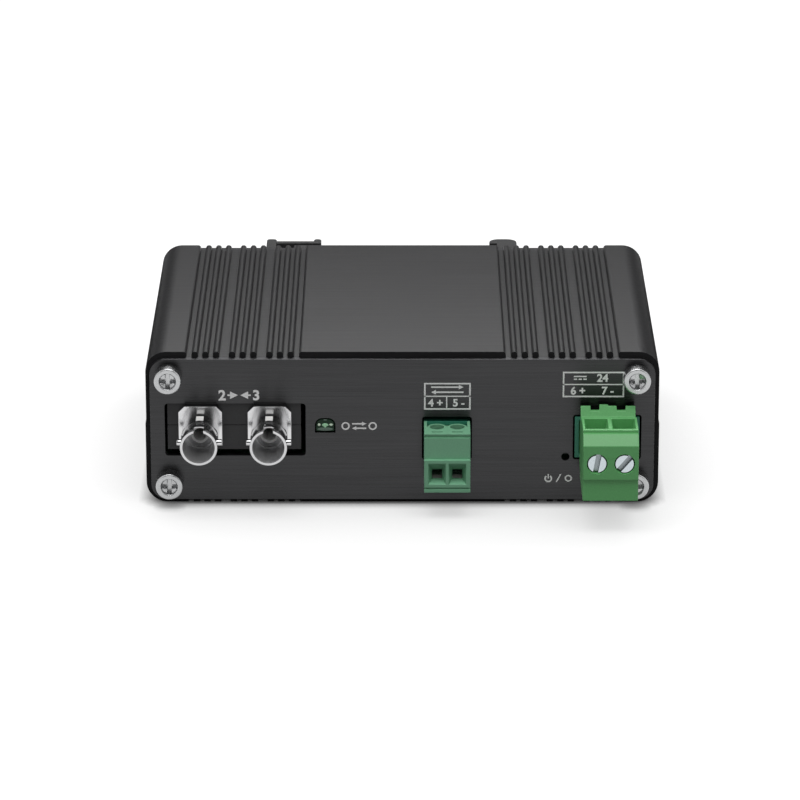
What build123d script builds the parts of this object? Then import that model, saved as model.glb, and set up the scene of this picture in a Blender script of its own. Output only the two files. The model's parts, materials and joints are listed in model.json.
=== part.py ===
"""Fibre media converter: a ribbed two-shell aluminium case with a fibre transceiver,
two pluggable screw terminals and a rail clip.

Origin at the centre of the bottom face, X along the front, -Y out of the front panel, +Z up.
"""

import os

from build123d import *

os.makedirs("parts", exist_ok=True)

# Case: two extruded half shells that meet in a lap joint
case_width = 97.0
case_height = 30.0
case_length = 67.0
case_corner = 4.0
case_wall = 2.2
split_height = 15.8
shell_step = 0.15
lap_height = 1.5
lap_thickness = 1.0
lap_clearance = 0.1

# Cooling ribs: groups of three, level with the flats beside them
rib_depth = 1.0
rib_width = 1.2
rib_pitch = 2.0
ribs_in_group = 3
rib_group_pitch = 7.0
rib_groups = 3
rib_band_margin = 1.6
rib_band_inset = 18.5

# End panels and the screws that hold them in the shells' corner channels
panel_thickness = 1.5
panel_inset = 1.0
panel_corner = 3.0
screw_inset = 4.5
screw_shank_radius = 1.45
screw_head_radius = 2.55
screw_head_height = 2.9
screw_head_chamfer = 0.2
screw_bite = 8.0
screw_dish_radius = 1.65
screw_dish_depth = 0.5
screw_dish_taper = 25.0
cross_span = 2.9
cross_width = 0.8
cross_depth = 1.7
channel_wall = 2.2
channel_root = 0.5
channel_clearance = 0.05
panel_hole_clearance = 0.15

# Circuit board, held between the lower screw channels and two guide ribs
board_thickness = 1.6
board_gap = 0.1
board_side_gap = 0.2
board_end_gap = 0.3
guide_reach = 1.2
guide_thickness = 1.0
pin_hole_radius = 0.78

# Fibre transceiver: a moulded base and cover with two metal bayonet ports
module_inset = 16.8
module_width = 25.2
module_depth = 20.6
module_drop = 4.05
module_rise = 5.1
module_split = 0.8
module_split_gap = 0.06
module_recess = 0.4
module_foot_radius = 1.0
module_foot_inset = 3.0
window_left_gap = 0.45
window_right_gap = 0.85
window_bottom_gap = 1.1
window_top_gap = 0.1
window_corner = 0.6
module_pin_count = 9
module_pin_pitch = 2.54
module_pin_size = 0.6
module_pin_inset = 6.5
module_pin_offset = 0.8
pin_tail = 1.2

# Bayonet ports and the sleeves that take the ferrules
port_pitch = 13.0
port_offset = 0.2
port_reach = 10.1
barrel_radius = 3.5
barrel_bore = 3.0
barrel_bore_depth = 7.3
lip_length = 0.7
neck_radius = 3.3
neck_length = 3.9
throat_radius = 2.55
throat_depth = 0.9
flange_width = 8.2
flange_drop = 2.6
flange_rise = 5.2
flange_thickness = 2.0
flange_chamfer = 1.15
port_stub_radius = 2.7
port_stub_length = 3.0
lug_setback = 3.1
lug_radius = 0.6
lug_tip = 4.22
key_width = 1.8
key_length = 2.8
sleeve_radius = 1.7
ferrule_radius = 1.25
sleeve_length = 8.0
sleeve_proud = 0.2
fit = 0.05

# Lamps: the link lamp in a holder on the board, the power lamp behind a small hole
link_led_gap = 3.7
link_led_width = 3.45
link_led_height = 2.5
link_led_rise = 0.85
link_led_round = 1.2
link_led_recess = 0.2
link_window_gap = 0.2
holder_width = 4.6
holder_depth = 6.0
holder_cap = 1.2
power_led_width = 2.0
power_led_depth = 0.9
power_led_height = 2.4
power_led_gap = 1.7
power_led_hole = 0.75

# What both pluggable terminals share
header_standoff = 1.0
header_recess = 0.1
header_foot_width = 0.8
header_foot_length = 4.0
cutout_gap = 0.3
cutout_corner = 0.5
plug_gap = 0.2
tongue_gap = 0.15
header_floor_gap = 0.4
header_back_wall = 1.2
pin_size = 1.0
pin_tip_setback = 1.8
pin_leg_gap = 0.6
contact_gap = 0.05
pin_gap = 0.12

# Data terminal: wires enter from the front, screws stand on top
data_x = 8.4
data_pitch = 3.81
data_header_width = 8.7
data_header_height = 7.2
data_header_wall = 0.7
data_cutout_top_gap = 0.95
data_plug_width = 8.65
data_plug_reach = 7.7
data_plug_top = 16.8
data_plug_bottom = 5.5
data_ledge_height = 11.9
data_ledge_depth = 0.8
data_deck_drop = 0.9
data_lip_height = 0.7
data_groove_height = 0.3
data_groove_depth = 0.35
data_lip_lean = 0.25
data_tongue_depth = 7.2
data_rail_width = 0.55
data_screw_reach = 3.35
data_screw_hole_radius = 1.35
data_tower_radius = 1.75
data_head_radius = 1.25
data_head_height = 1.15
data_head_depth = 1.5
data_shank_radius = 0.95
data_slot_width = 0.45
data_slot_depth = 0.6
data_shoulder = 0.45
data_clamp_width = 2.9
data_clamp_length = 3.3
data_clamp_wall = 0.5
data_clamp_plate = 0.8
data_clamp_nut = 1.4
data_clamp_travel = 1.2
data_wire_height = 8.7
data_wire_width = 1.9
data_wire_opening = 1.9
data_clamp_drop = 0.25
data_funnel_width = 3.3
data_funnel_height = 4.2
data_funnel_rise = 0.5
data_funnel_depth = 1.6
data_funnel_wall = 0.4
data_bar_width = 1.7
data_bar_thickness = 0.8
data_socket_width = 2.2
data_socket_height = 2.4
data_mark_reach = 6.1
data_mark_width = 2.1
data_mark_length = 0.55
data_mark_depth = 0.9

# Power terminal: wires enter from above, screws face the front
power_inset = 9.9
power_pitch = 5.08
power_header_width = 12.2
power_header_height = 8.15
power_header_wall = 0.8
power_cutout_top_gap = 0.4
power_plug_width = 10.3
power_plug_reach = 16.5
power_plug_bottom = 6.7
power_heel_height = 8.0
power_heel_gap = 0.4
power_plug_top = 20.0
power_waist_height = 11.0
power_chin_setback = 0.45
power_brow_height = 17.6
power_brow_run = 1.85
power_frame_step = 0.55
power_frame_front = 14.2
power_frame_rear = 6.9
power_valley_height = 18.6
power_rib_front = 3.0
power_rib_rear = 1.6
power_rib_height = 19.6
power_tooth_rise = 0.8
power_tooth_step = 0.25
power_notch_width = 1.65
power_notch_offset = 2.45
power_rear_height = 17.0
power_tongue_depth = 8.3
power_screw_height = 14.1
power_head_radius = 1.7
power_head_height = 1.1
power_head_recess = 0.2
power_head_gap = 0.2
power_shank_radius = 1.25
power_slot_width = 0.95
power_slot_depth = 0.8
power_slot_angles = (80.0, 50.0)
power_shoulder = 0.45
power_clamp_width = 4.2
power_clamp_height = 4.0
power_clamp_wall = 0.6
power_clamp_nut = 1.6
power_clamp_plate = 1.0
power_clamp_travel = 1.4
power_wire_space = 2.3
power_bar_gap = 0.5
power_bar_width = 2.8
power_bar_thickness = 0.9
power_strip_thickness = 0.8
power_strip_length = 6.6
power_socket_width = 2.6
power_socket_height = 2.4
power_funnel_width = 4.3
power_funnel_length = 5.6
power_funnel_depth = 2.6
power_throat_width = 3.2
power_throat_length = 2.6

# Rail clip for a 35 mm rail: a fixed hook and a sprung latch on a bracket
rail_width = 35.0
rail_side_gap = 0.25
clip_end_inset = 2.0
bracket_thickness = 5.0
bracket_left = -22.0
hook_inner = 19.25
hook_width = 4.05
hook_overhang = 1.5
hook_gap = 1.3
hook_round = 2.0
clip_reach = 9.2
latch_outer = -27.6
latch_wall = 2.0
latch_arm_tip = -16.5
latch_arm_thickness = 1.5
latch_tip_width = 1.5
latch_overlap = 1.4
latch_tongue_height = 16.0
latch_lead_in = 0.6
latch_travel = 3.0
latch_tail_height = 11.4
latch_tail_thickness = 3.3
latch_gap = 0.15
latch_end_wall = 1.8
latch_tail_run = 12.4
spring_window_height = 7.0
spring_post_width = 1.5
spring_post_height = 4.0
spring_pressed_length = 5.4
spring_radius = 1.2
spring_wire = 0.2
spring_turns = 6
spring_end_gap = 0.1
bracket_screw_xs = (5.0, 14.5)
bracket_screw_radius = 1.45
bracket_screw_tail = 1.0
bracket_head_radius = 2.8
bracket_head_sink = 0.3
bracket_cross_depth = 0.8

# Parts on the board
converter_size = (26.0, 20.0, 8.5)
converter_setback = 15.6
converter_y = 12.0
capacitor_radius = 4.0
capacitor_height = 10.5
capacitor_setback = 12.6
capacitor_y = -10.0
controller_size = (10.0, 10.0, 1.4)
controller_place = (-9.0, 4.0)
driver_size = (5.0, 4.0, 1.6)
driver_y = -14.0

# Places worked out from the sizes above
inner_width = case_width - 2 * case_wall
inner_height = case_height - 2 * case_wall
mid_height = case_height / 2
panel_face = -(case_length / 2 + panel_thickness)
panel_back = -case_length / 2
rear_face = case_length / 2 + panel_thickness
screw_span_x = case_width - 2 * screw_inset
screw_span_z = case_height - 2 * screw_inset
channel_bore = screw_shank_radius + channel_clearance
channel_block = channel_wall + screw_inset - case_wall + channel_root
channel_span_x = inner_width + 2 * channel_root - channel_block
channel_span_z = inner_height + 2 * channel_root - channel_block
rib_band_span = case_width - 2 * rib_band_inset
rib_band_width = (rib_groups - 1) * rib_group_pitch + (ribs_in_group - 1) * rib_pitch + 2 * rib_band_margin
lap_span = inner_width + lap_thickness
board_bottom = screw_inset + channel_wall + board_gap
board_top = board_bottom + board_thickness
board_front = panel_back + board_end_gap
header_bottom = board_top + header_standoff
header_front = panel_face + header_recess
plug_rear = panel_face - plug_gap


def facing_front(y):
    """Plane at depth y whose normal points out of the front."""
    return Plane.XZ.offset(-y)


def facing_rear(y):
    """Plane at depth y whose normal points out of the rear; its X runs the other way."""
    return Plane(origin=(0, y, 0), x_dir=(-1, 0, 0), z_dir=(0, 1, 0))


def case_section(outer_width):
    """Section of the whole case: walls, screw channels and rib grooves above and below."""
    with Locations((0, mid_height)):
        RectangleRounded(outer_width, case_height, case_corner)
        RectangleRounded(inner_width, inner_height, case_corner - case_wall, mode=Mode.SUBTRACT)
        with GridLocations(channel_span_x, channel_span_z, 2, 2):
            Rectangle(channel_block, channel_block)
        with GridLocations(screw_span_x, screw_span_z, 2, 2):
            Circle(channel_bore, mode=Mode.SUBTRACT)
        with GridLocations(rib_band_span, case_height - rib_depth, 2, 2):
            Rectangle(rib_band_width, rib_depth, mode=Mode.SUBTRACT)
            with GridLocations(rib_group_pitch, 0, rib_groups, 1):
                with GridLocations(rib_pitch, 0, ribs_in_group, 1):
                    Rectangle(rib_width, rib_depth)


# Upper shell, with a rebate inside each lower edge
with BuildPart() as top_shell:
    with BuildSketch(facing_front(-panel_back)):
        case_section(case_width - 2 * shell_step)
        with Locations((0, split_height)):
            Rectangle(case_width, case_height, align=(Align.CENTER, Align.MAX), mode=Mode.SUBTRACT)
            with GridLocations(lap_span, 0, 2, 1):
                Rectangle(
                    lap_thickness + 2 * lap_clearance,
                    2 * (lap_height + lap_clearance),
                    mode=Mode.SUBTRACT,
                )
    extrude(amount=case_length)
top_shell.part.label = "top_shell"
export_step(top_shell.part, "parts/top_shell.step")

# Lower shell, with a tongue for the lap joint and a guide above each edge of the board
with BuildPart() as bottom_shell:
    with BuildSketch(facing_front(-panel_back)):
        case_section(case_width)
        with Locations((0, split_height)):
            Rectangle(case_width, case_height, align=(Align.CENTER, Align.MIN), mode=Mode.SUBTRACT)
            with GridLocations(lap_span, 0, 2, 1):
                Rectangle(lap_thickness, lap_height, align=(Align.CENTER, Align.MIN))
        with Locations((0, board_top + board_gap)):
            with GridLocations(inner_width, 0, 2, 1):
                Rectangle(2 * guide_reach, guide_thickness, align=(Align.CENTER, Align.MIN))
    extrude(amount=case_length)
bottom_shell.part.label = "bottom_shell"
export_step(bottom_shell.part, "parts/bottom_shell.step")

# Circuit board
module_x = module_inset - case_width / 2
module_front = panel_face + module_recess
module_back = module_front + module_depth
module_pin_x = module_x + module_pin_offset
module_pin_y = module_back - module_pin_inset
module_pin_hole = module_pin_size + 2 * fit
power_x = case_width / 2 - power_inset
leg_run = header_floor_gap + header_back_wall + pin_leg_gap + pin_size / 2
data_leg_y = plug_rear + data_tongue_depth + leg_run
power_leg_y = plug_rear + power_tongue_depth + leg_run
with BuildPart() as circuit_board:
    with BuildSketch(Plane.XY.offset(board_bottom)):
        Rectangle(inner_width - 2 * board_side_gap, case_length - 2 * board_end_gap)
        with Locations((module_pin_x, module_pin_y)):
            with GridLocations(module_pin_pitch, 0, module_pin_count, 1):
                Rectangle(module_pin_hole, module_pin_hole, mode=Mode.SUBTRACT)
        with Locations((data_x, data_leg_y)):
            with GridLocations(data_pitch, 0, 2, 1):
                Circle(pin_hole_radius, mode=Mode.SUBTRACT)
        with Locations((power_x, power_leg_y)):
            with GridLocations(power_pitch, 0, 2, 1):
                Circle(pin_hole_radius, mode=Mode.SUBTRACT)
    extrude(amount=board_thickness)
circuit_board.part.label = "circuit_board"
export_step(circuit_board.part, "parts/circuit_board.step")

# Front panel with its cut-outs
module_left = module_x - module_width / 2
module_right = module_x + module_width / 2
module_bottom = mid_height - module_drop
module_top = mid_height + module_rise
window_left = module_left - window_left_gap
window_right = module_right + window_right_gap
window_bottom = module_bottom - window_bottom_gap
window_top = module_top + window_top_gap
link_led_x = window_right + link_led_gap
link_led_z = mid_height + link_led_rise
power_led_x = power_x - power_header_width / 2 - power_led_gap
power_led_z = board_top + power_led_height / 2
with BuildPart() as front_panel:
    with BuildSketch(facing_front(panel_back)):
        with Locations((0, mid_height)):
            RectangleRounded(case_width - 2 * panel_inset, case_height - 2 * panel_inset, panel_corner)
            with GridLocations(screw_span_x, screw_span_z, 2, 2):
                Circle(screw_shank_radius + panel_hole_clearance, mode=Mode.SUBTRACT)
        with Locations(((window_left + window_right) / 2, (window_bottom + window_top) / 2)):
            RectangleRounded(
                window_right - window_left, window_top - window_bottom, window_corner, mode=Mode.SUBTRACT
            )
        with Locations((data_x, header_bottom - cutout_gap)):
            RectangleRounded(
                data_header_width + 2 * cutout_gap,
                data_header_height + cutout_gap + data_cutout_top_gap,
                cutout_corner,
                align=(Align.CENTER, Align.MIN),
                mode=Mode.SUBTRACT,
            )
        with Locations((power_x, header_bottom - cutout_gap)):
            RectangleRounded(
                power_header_width + 2 * cutout_gap,
                power_header_height + cutout_gap + power_cutout_top_gap,
                cutout_corner,
                align=(Align.CENTER, Align.MIN),
                mode=Mode.SUBTRACT,
            )
        with Locations((power_led_x, power_led_z)):
            Circle(power_led_hole, mode=Mode.SUBTRACT)
    extrude(amount=panel_thickness)
    with BuildSketch(facing_front(panel_back)) as link_window:
        with Locations((link_led_x, link_led_z)):
            Rectangle(link_led_width + 2 * link_window_gap, link_led_height + 2 * link_window_gap)
        fillet(link_window.vertices().group_by(Axis.Y)[-1], radius=link_led_round + link_window_gap)
    extrude(amount=panel_thickness, mode=Mode.SUBTRACT)
front_panel.part.label = "front_panel"
export_step(front_panel.part, "parts/front_panel.step")

# Rear panel, tapped for the rail bracket's screws
with BuildPart() as rear_panel:
    with BuildSketch(facing_front(rear_face)):
        with Locations((0, mid_height)):
            RectangleRounded(case_width - 2 * panel_inset, case_height - 2 * panel_inset, panel_corner)
            with GridLocations(screw_span_x, screw_span_z, 2, 2):
                Circle(screw_shank_radius + panel_hole_clearance, mode=Mode.SUBTRACT)
        with Locations([(x, mid_height) for x in bracket_screw_xs]):
            Circle(bracket_screw_radius + fit, mode=Mode.SUBTRACT)
    extrude(amount=panel_thickness)
rear_panel.part.label = "rear_panel"
export_step(rear_panel.part, "parts/rear_panel.step")

# Panel screws: tall flat heads, dished round a cross recess, four at each end
screw_sets = (
    ("front_panel_screws", facing_front(panel_face)),
    ("rear_panel_screws", facing_rear(rear_face)),
)
for screws_name, outer_face in screw_sets:
    with BuildPart() as panel_screws:
        with BuildSketch(outer_face):
            with Locations((0, mid_height)):
                with GridLocations(screw_span_x, screw_span_z, 2, 2):
                    Circle(screw_head_radius)
        extrude(amount=screw_head_height)
        head_faces = panel_screws.faces().sort_by(Axis(outer_face.origin, outer_face.z_dir))[-4:]
        chamfer(head_faces.edges(), screw_head_chamfer)
        with BuildSketch(outer_face):
            with Locations((0, mid_height)):
                with GridLocations(screw_span_x, screw_span_z, 2, 2):
                    Circle(screw_shank_radius)
        extrude(amount=-(panel_thickness + screw_bite))
        with BuildSketch(outer_face.offset(screw_head_height)):
            with Locations((0, mid_height)):
                with GridLocations(screw_span_x, screw_span_z, 2, 2):
                    Circle(screw_dish_radius)
        extrude(amount=-screw_dish_depth, taper=screw_dish_taper, mode=Mode.SUBTRACT)
        with BuildSketch(outer_face.offset(screw_head_height)):
            with Locations((0, mid_height)):
                with GridLocations(screw_span_x, screw_span_z, 2, 2):
                    Rectangle(cross_span, cross_width)
                    Rectangle(cross_width, cross_span)
        extrude(amount=-cross_depth, mode=Mode.SUBTRACT)
    panel_screws.part.label = screws_name
    export_step(panel_screws.part, f"parts/{screws_name}.step")

# Transceiver base on four feet, and its cover, both bored for the ports
port_xs = (module_x + port_offset - port_pitch / 2, module_x + port_offset + port_pitch / 2)
port_seats = [(x, mid_height) for x in port_xs]
stub_end = module_front + port_stub_length
throat_floor = panel_face - port_reach + barrel_bore_depth + throat_depth
sleeve_front = throat_floor - throat_depth + sleeve_proud
sleeve_back = sleeve_front + sleeve_length
module_split_height = mid_height + module_split
foot_span_x = module_width - 2 * module_foot_inset
foot_span_y = module_back - board_front - 2 * module_foot_inset
with BuildPart() as transceiver_base:
    with BuildSketch(facing_front(module_back)):
        with Locations((module_x, module_bottom)):
            Rectangle(
                module_width, module_split_height - module_bottom, align=(Align.CENTER, Align.MIN)
            )
    extrude(amount=module_depth)
    with BuildSketch(Plane.XY.offset(board_top)):
        with Locations((module_x, (board_front + module_back) / 2)):
            with GridLocations(foot_span_x, foot_span_y, 2, 2):
                Circle(module_foot_radius)
    extrude(amount=mid_height - board_top)
    with BuildSketch(facing_front(module_front)):
        with Locations(port_seats):
            Circle(port_stub_radius + fit)
    extrude(amount=-(port_stub_length + fit), mode=Mode.SUBTRACT)
    with BuildSketch(facing_front(module_front)):
        with Locations(port_seats):
            Circle(sleeve_radius + fit)
    extrude(amount=-(sleeve_back + fit - module_front), mode=Mode.SUBTRACT)
    with BuildSketch(Plane.XY.offset(module_bottom)):
        with Locations((module_pin_x, module_pin_y)):
            with GridLocations(module_pin_pitch, 0, module_pin_count, 1):
                Rectangle(module_pin_hole, module_pin_hole)
    extrude(amount=pin_tail, mode=Mode.SUBTRACT)
transceiver_base.part.label = "transceiver_base"
export_step(transceiver_base.part, "parts/transceiver_base.step")

with BuildPart() as transceiver_cover:
    with BuildSketch(facing_front(module_back)):
        with Locations((module_x, module_top)):
            Rectangle(
                module_width,
                module_top - module_split_height - module_split_gap,
                align=(Align.CENTER, Align.MAX),
            )
    extrude(amount=module_depth)
    with BuildSketch(facing_front(module_front)):
        with Locations(port_seats):
            Circle(port_stub_radius + fit)
    extrude(amount=-(port_stub_length + fit), mode=Mode.SUBTRACT)
    with BuildSketch(facing_front(module_front)):
        with Locations(port_seats):
            Circle(sleeve_radius + fit)
    extrude(amount=-(sleeve_back + fit - module_front), mode=Mode.SUBTRACT)
transceiver_cover.part.label = "transceiver_cover"
export_step(transceiver_cover.part, "parts/transceiver_cover.step")

# Transceiver pins, in one row through the board
with BuildPart() as transceiver_pins:
    with BuildSketch(Plane.XY.offset(board_bottom - pin_tail)):
        with Locations((module_pin_x, module_pin_y)):
            with GridLocations(module_pin_pitch, 0, module_pin_count, 1):
                Rectangle(module_pin_size, module_pin_size)
    extrude(amount=module_bottom + pin_tail - fit - board_bottom + pin_tail)
transceiver_pins.part.label = "transceiver_pins"
export_step(transceiver_pins.part, "parts/transceiver_pins.step")

# Bayonet ports: turned barrels with a necked end, two side lugs and a key slot, on a square flange
rim_y = panel_face - port_reach
neck_front = rim_y + lip_length
flange_front = module_front - flange_thickness
for port_name, sleeve_name, port_x in zip(
    ("transmit_port", "receive_port"), ("transmit_sleeve", "receive_sleeve"), port_xs
):
    port_axis = Axis((port_x, 0, mid_height), (0, 1, 0))
    with BuildPart() as port:
        with BuildSketch(facing_front(module_front)) as flange:
            with Locations((port_x, mid_height - flange_drop)):
                Rectangle(flange_width, flange_drop + flange_rise, align=(Align.CENTER, Align.MIN))
            chamfer(flange.vertices().group_by(Axis.Y)[-1], flange_chamfer)
        extrude(amount=flange_thickness)
        with BuildSketch(Plane.XY.offset(mid_height)):
            with BuildLine():
                Polyline(
                    (port_x, rim_y),
                    (port_x + barrel_radius, rim_y),
                    (port_x + barrel_radius, neck_front),
                    (port_x + neck_radius, neck_front),
                    (port_x + neck_radius, neck_front + neck_length),
                    (port_x + barrel_radius, neck_front + neck_length),
                    (port_x + barrel_radius, flange_front),
                    (port_x + port_stub_radius, module_front),
                    (port_x + port_stub_radius, stub_end),
                    (port_x, stub_end),
                    close=True,
                )
            make_face()
        revolve(axis=port_axis)
        for lug_side in (-1, 1):
            with BuildSketch(Plane.YZ.offset(port_x)):
                with Locations((rim_y + lug_setback, mid_height)):
                    Circle(lug_radius)
            extrude(amount=lug_side * lug_tip)
        with BuildSketch(facing_front(rim_y)):
            with Locations((port_x, mid_height)):
                Circle(barrel_bore)
        extrude(amount=-barrel_bore_depth, mode=Mode.SUBTRACT)
        with BuildSketch(facing_front(rim_y)):
            with Locations((port_x, mid_height)):
                Circle(throat_radius)
        extrude(amount=-(barrel_bore_depth + throat_depth), mode=Mode.SUBTRACT)
        with BuildSketch(facing_front(rim_y)):
            with Locations((port_x, mid_height)):
                Circle(sleeve_radius + fit)
        extrude(amount=-(stub_end - rim_y), mode=Mode.SUBTRACT)
        with BuildSketch(Plane.XY.offset(mid_height)):
            with Locations((port_x, rim_y)):
                Rectangle(key_width, key_length, align=(Align.CENTER, Align.MIN))
        extrude(amount=barrel_radius, mode=Mode.SUBTRACT)
    port.part.label = port_name
    export_step(port.part, f"parts/{port_name}.step")

    with BuildPart() as sleeve:
        with BuildSketch(facing_front(sleeve_back)):
            with Locations((port_x, mid_height)):
                Circle(sleeve_radius)
                Circle(ferrule_radius, mode=Mode.SUBTRACT)
        extrude(amount=sleeve_length)
    sleeve.part.label = sleeve_name
    export_step(sleeve.part, f"parts/{sleeve_name}.step")

# Link lamp: a clear lens that fills its window, on a black holder
with BuildPart() as link_led:
    with BuildSketch(facing_front(board_front)) as lens:
        with Locations((link_led_x, link_led_z)):
            Rectangle(link_led_width, link_led_height)
        fillet(lens.vertices().group_by(Axis.Y)[-1], radius=link_led_round)
    extrude(amount=board_front - panel_face - link_led_recess)
link_led.part.label = "link_led"
export_step(link_led.part, "parts/link_led.step")

with BuildPart() as link_led_holder:
    with BuildSketch(Plane.XY.offset(board_top)):
        with Locations((link_led_x, board_front)):
            Rectangle(holder_width, holder_depth, align=(Align.CENTER, Align.MIN))
    extrude(amount=link_led_z + link_led_height / 2 + holder_cap - board_top)
link_led_holder.part.label = "link_led_holder"
export_step(link_led_holder.part, "parts/link_led_holder.step")

with BuildPart() as power_led:
    with BuildSketch(Plane.XY.offset(board_top)):
        with Locations((power_led_x, board_front)):
            Rectangle(power_led_width, power_led_depth, align=(Align.CENTER, Align.MIN))
    extrude(amount=power_led_height)
power_led.part.label = "power_led"
export_step(power_led.part, "parts/power_led.step")

# Heights inside the two plugs that their headers' pins follow
data_bar_bottom = data_wire_height + data_wire_opening / 2 + contact_gap
data_socket_bottom = data_bar_bottom + data_bar_thickness
data_pin_z = data_socket_bottom + data_socket_height / 2
power_bar_bottom = power_screw_height - power_clamp_height / 2 - power_strip_thickness - 2 * plug_gap
power_pin_z = power_bar_bottom + power_socket_height / 2

# Headers: open boxes on the board with bent square pins
header_rows = (
    ("data_header", data_x, data_pitch, data_header_width, data_header_height, data_header_wall,
     plug_rear + data_tongue_depth + header_floor_gap, data_pin_z, data_leg_y),
    ("power_header", power_x, power_pitch, power_header_width, power_header_height, power_header_wall,
     plug_rear + power_tongue_depth + header_floor_gap, power_pin_z, power_leg_y),
)
for header_name, header_x, pitch, width, height, wall, floor_y, pin_z, leg_y in header_rows:
    back_y = floor_y + header_back_wall
    with BuildPart() as header:
        with BuildSketch(facing_front(back_y)):
            with Locations((header_x, header_bottom)):
                Rectangle(width, height, align=(Align.CENTER, Align.MIN))
        extrude(amount=back_y - header_front)
        with BuildSketch(facing_front(header_front)):
            with Locations((header_x, header_bottom + wall)):
                Rectangle(width - 2 * wall, height - 2 * wall, align=(Align.CENTER, Align.MIN))
        extrude(amount=-(floor_y - header_front), mode=Mode.SUBTRACT)
        with BuildSketch(facing_front(floor_y)):
            with Locations((header_x, pin_z)):
                with GridLocations(pitch, 0, 2, 1):
                    Rectangle(pin_size + 2 * fit, pin_size + 2 * fit)
        extrude(amount=-header_back_wall, mode=Mode.SUBTRACT)
        with BuildSketch(Plane.XY.offset(board_top)):
            with Locations((header_x, back_y - header_foot_length / 2)):
                with GridLocations(width - header_foot_width, 0, 2, 1):
                    Rectangle(header_foot_width, header_foot_length)
        extrude(amount=header_standoff)
    header.part.label = header_name
    export_step(header.part, f"parts/{header_name}.step")

    with BuildPart() as header_pins:
        with BuildSketch(facing_front(leg_y + pin_size / 2)):
            with Locations((header_x, pin_z)):
                with GridLocations(pitch, 0, 2, 1):
                    Rectangle(pin_size, pin_size)
        extrude(amount=leg_y + pin_size / 2 - header_front - pin_tip_setback)
        with BuildSketch(Plane.XY.offset(board_bottom - pin_tail)):
            with Locations((header_x, leg_y)):
                with GridLocations(pitch, 0, 2, 1):
                    Rectangle(pin_size, pin_size)
        extrude(amount=pin_z - board_bottom + pin_tail)
    header_pins.part.label = f"{header_name}_pins"
    export_step(header_pins.part, f"parts/{header_name}_pins.step")

# Data plug: a moulded block with wire funnels in front, screw towers above and a tongue behind
data_front = panel_face - data_plug_reach
data_foot_front = data_front - data_ledge_depth
data_deck = data_plug_top - data_deck_drop
data_screw_y = panel_face - data_screw_reach
data_head_top = data_plug_top - data_head_depth
data_head_bottom = data_head_top - data_head_height
data_shoulder_top = data_head_bottom - contact_gap
data_chamber_top = data_shoulder_top - data_shoulder
data_clamp_floor = data_wire_height - data_wire_opening / 2 - data_clamp_drop
data_clamp_bottom = data_clamp_floor - data_clamp_plate
data_clamp_top = data_chamber_top - 2 * contact_gap - data_clamp_travel
data_chamber_bottom = data_clamp_bottom - 2 * contact_gap
data_chamber_front = data_foot_front + data_funnel_depth + data_funnel_wall
data_bar_front = data_screw_y - data_clamp_length / 2 - contact_gap
data_chamber_rear = data_screw_y + data_clamp_length / 2 + 2 * contact_gap
data_tongue_rear = plug_rear + data_tongue_depth
data_tongue_width = data_header_width - 2 * data_header_wall - 2 * tongue_gap
data_tongue_height = data_header_height - 2 * data_header_wall - 2 * tongue_gap
data_tongue_bottom = header_bottom + data_header_wall + tongue_gap
data_socket_front = data_chamber_rear + data_bar_thickness + contact_gap
data_slot_height = data_plug_top - data_lip_height
data_groove_bottom = data_plug_bottom + data_lip_height
data_groove_top = data_groove_bottom + data_groove_height
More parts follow.
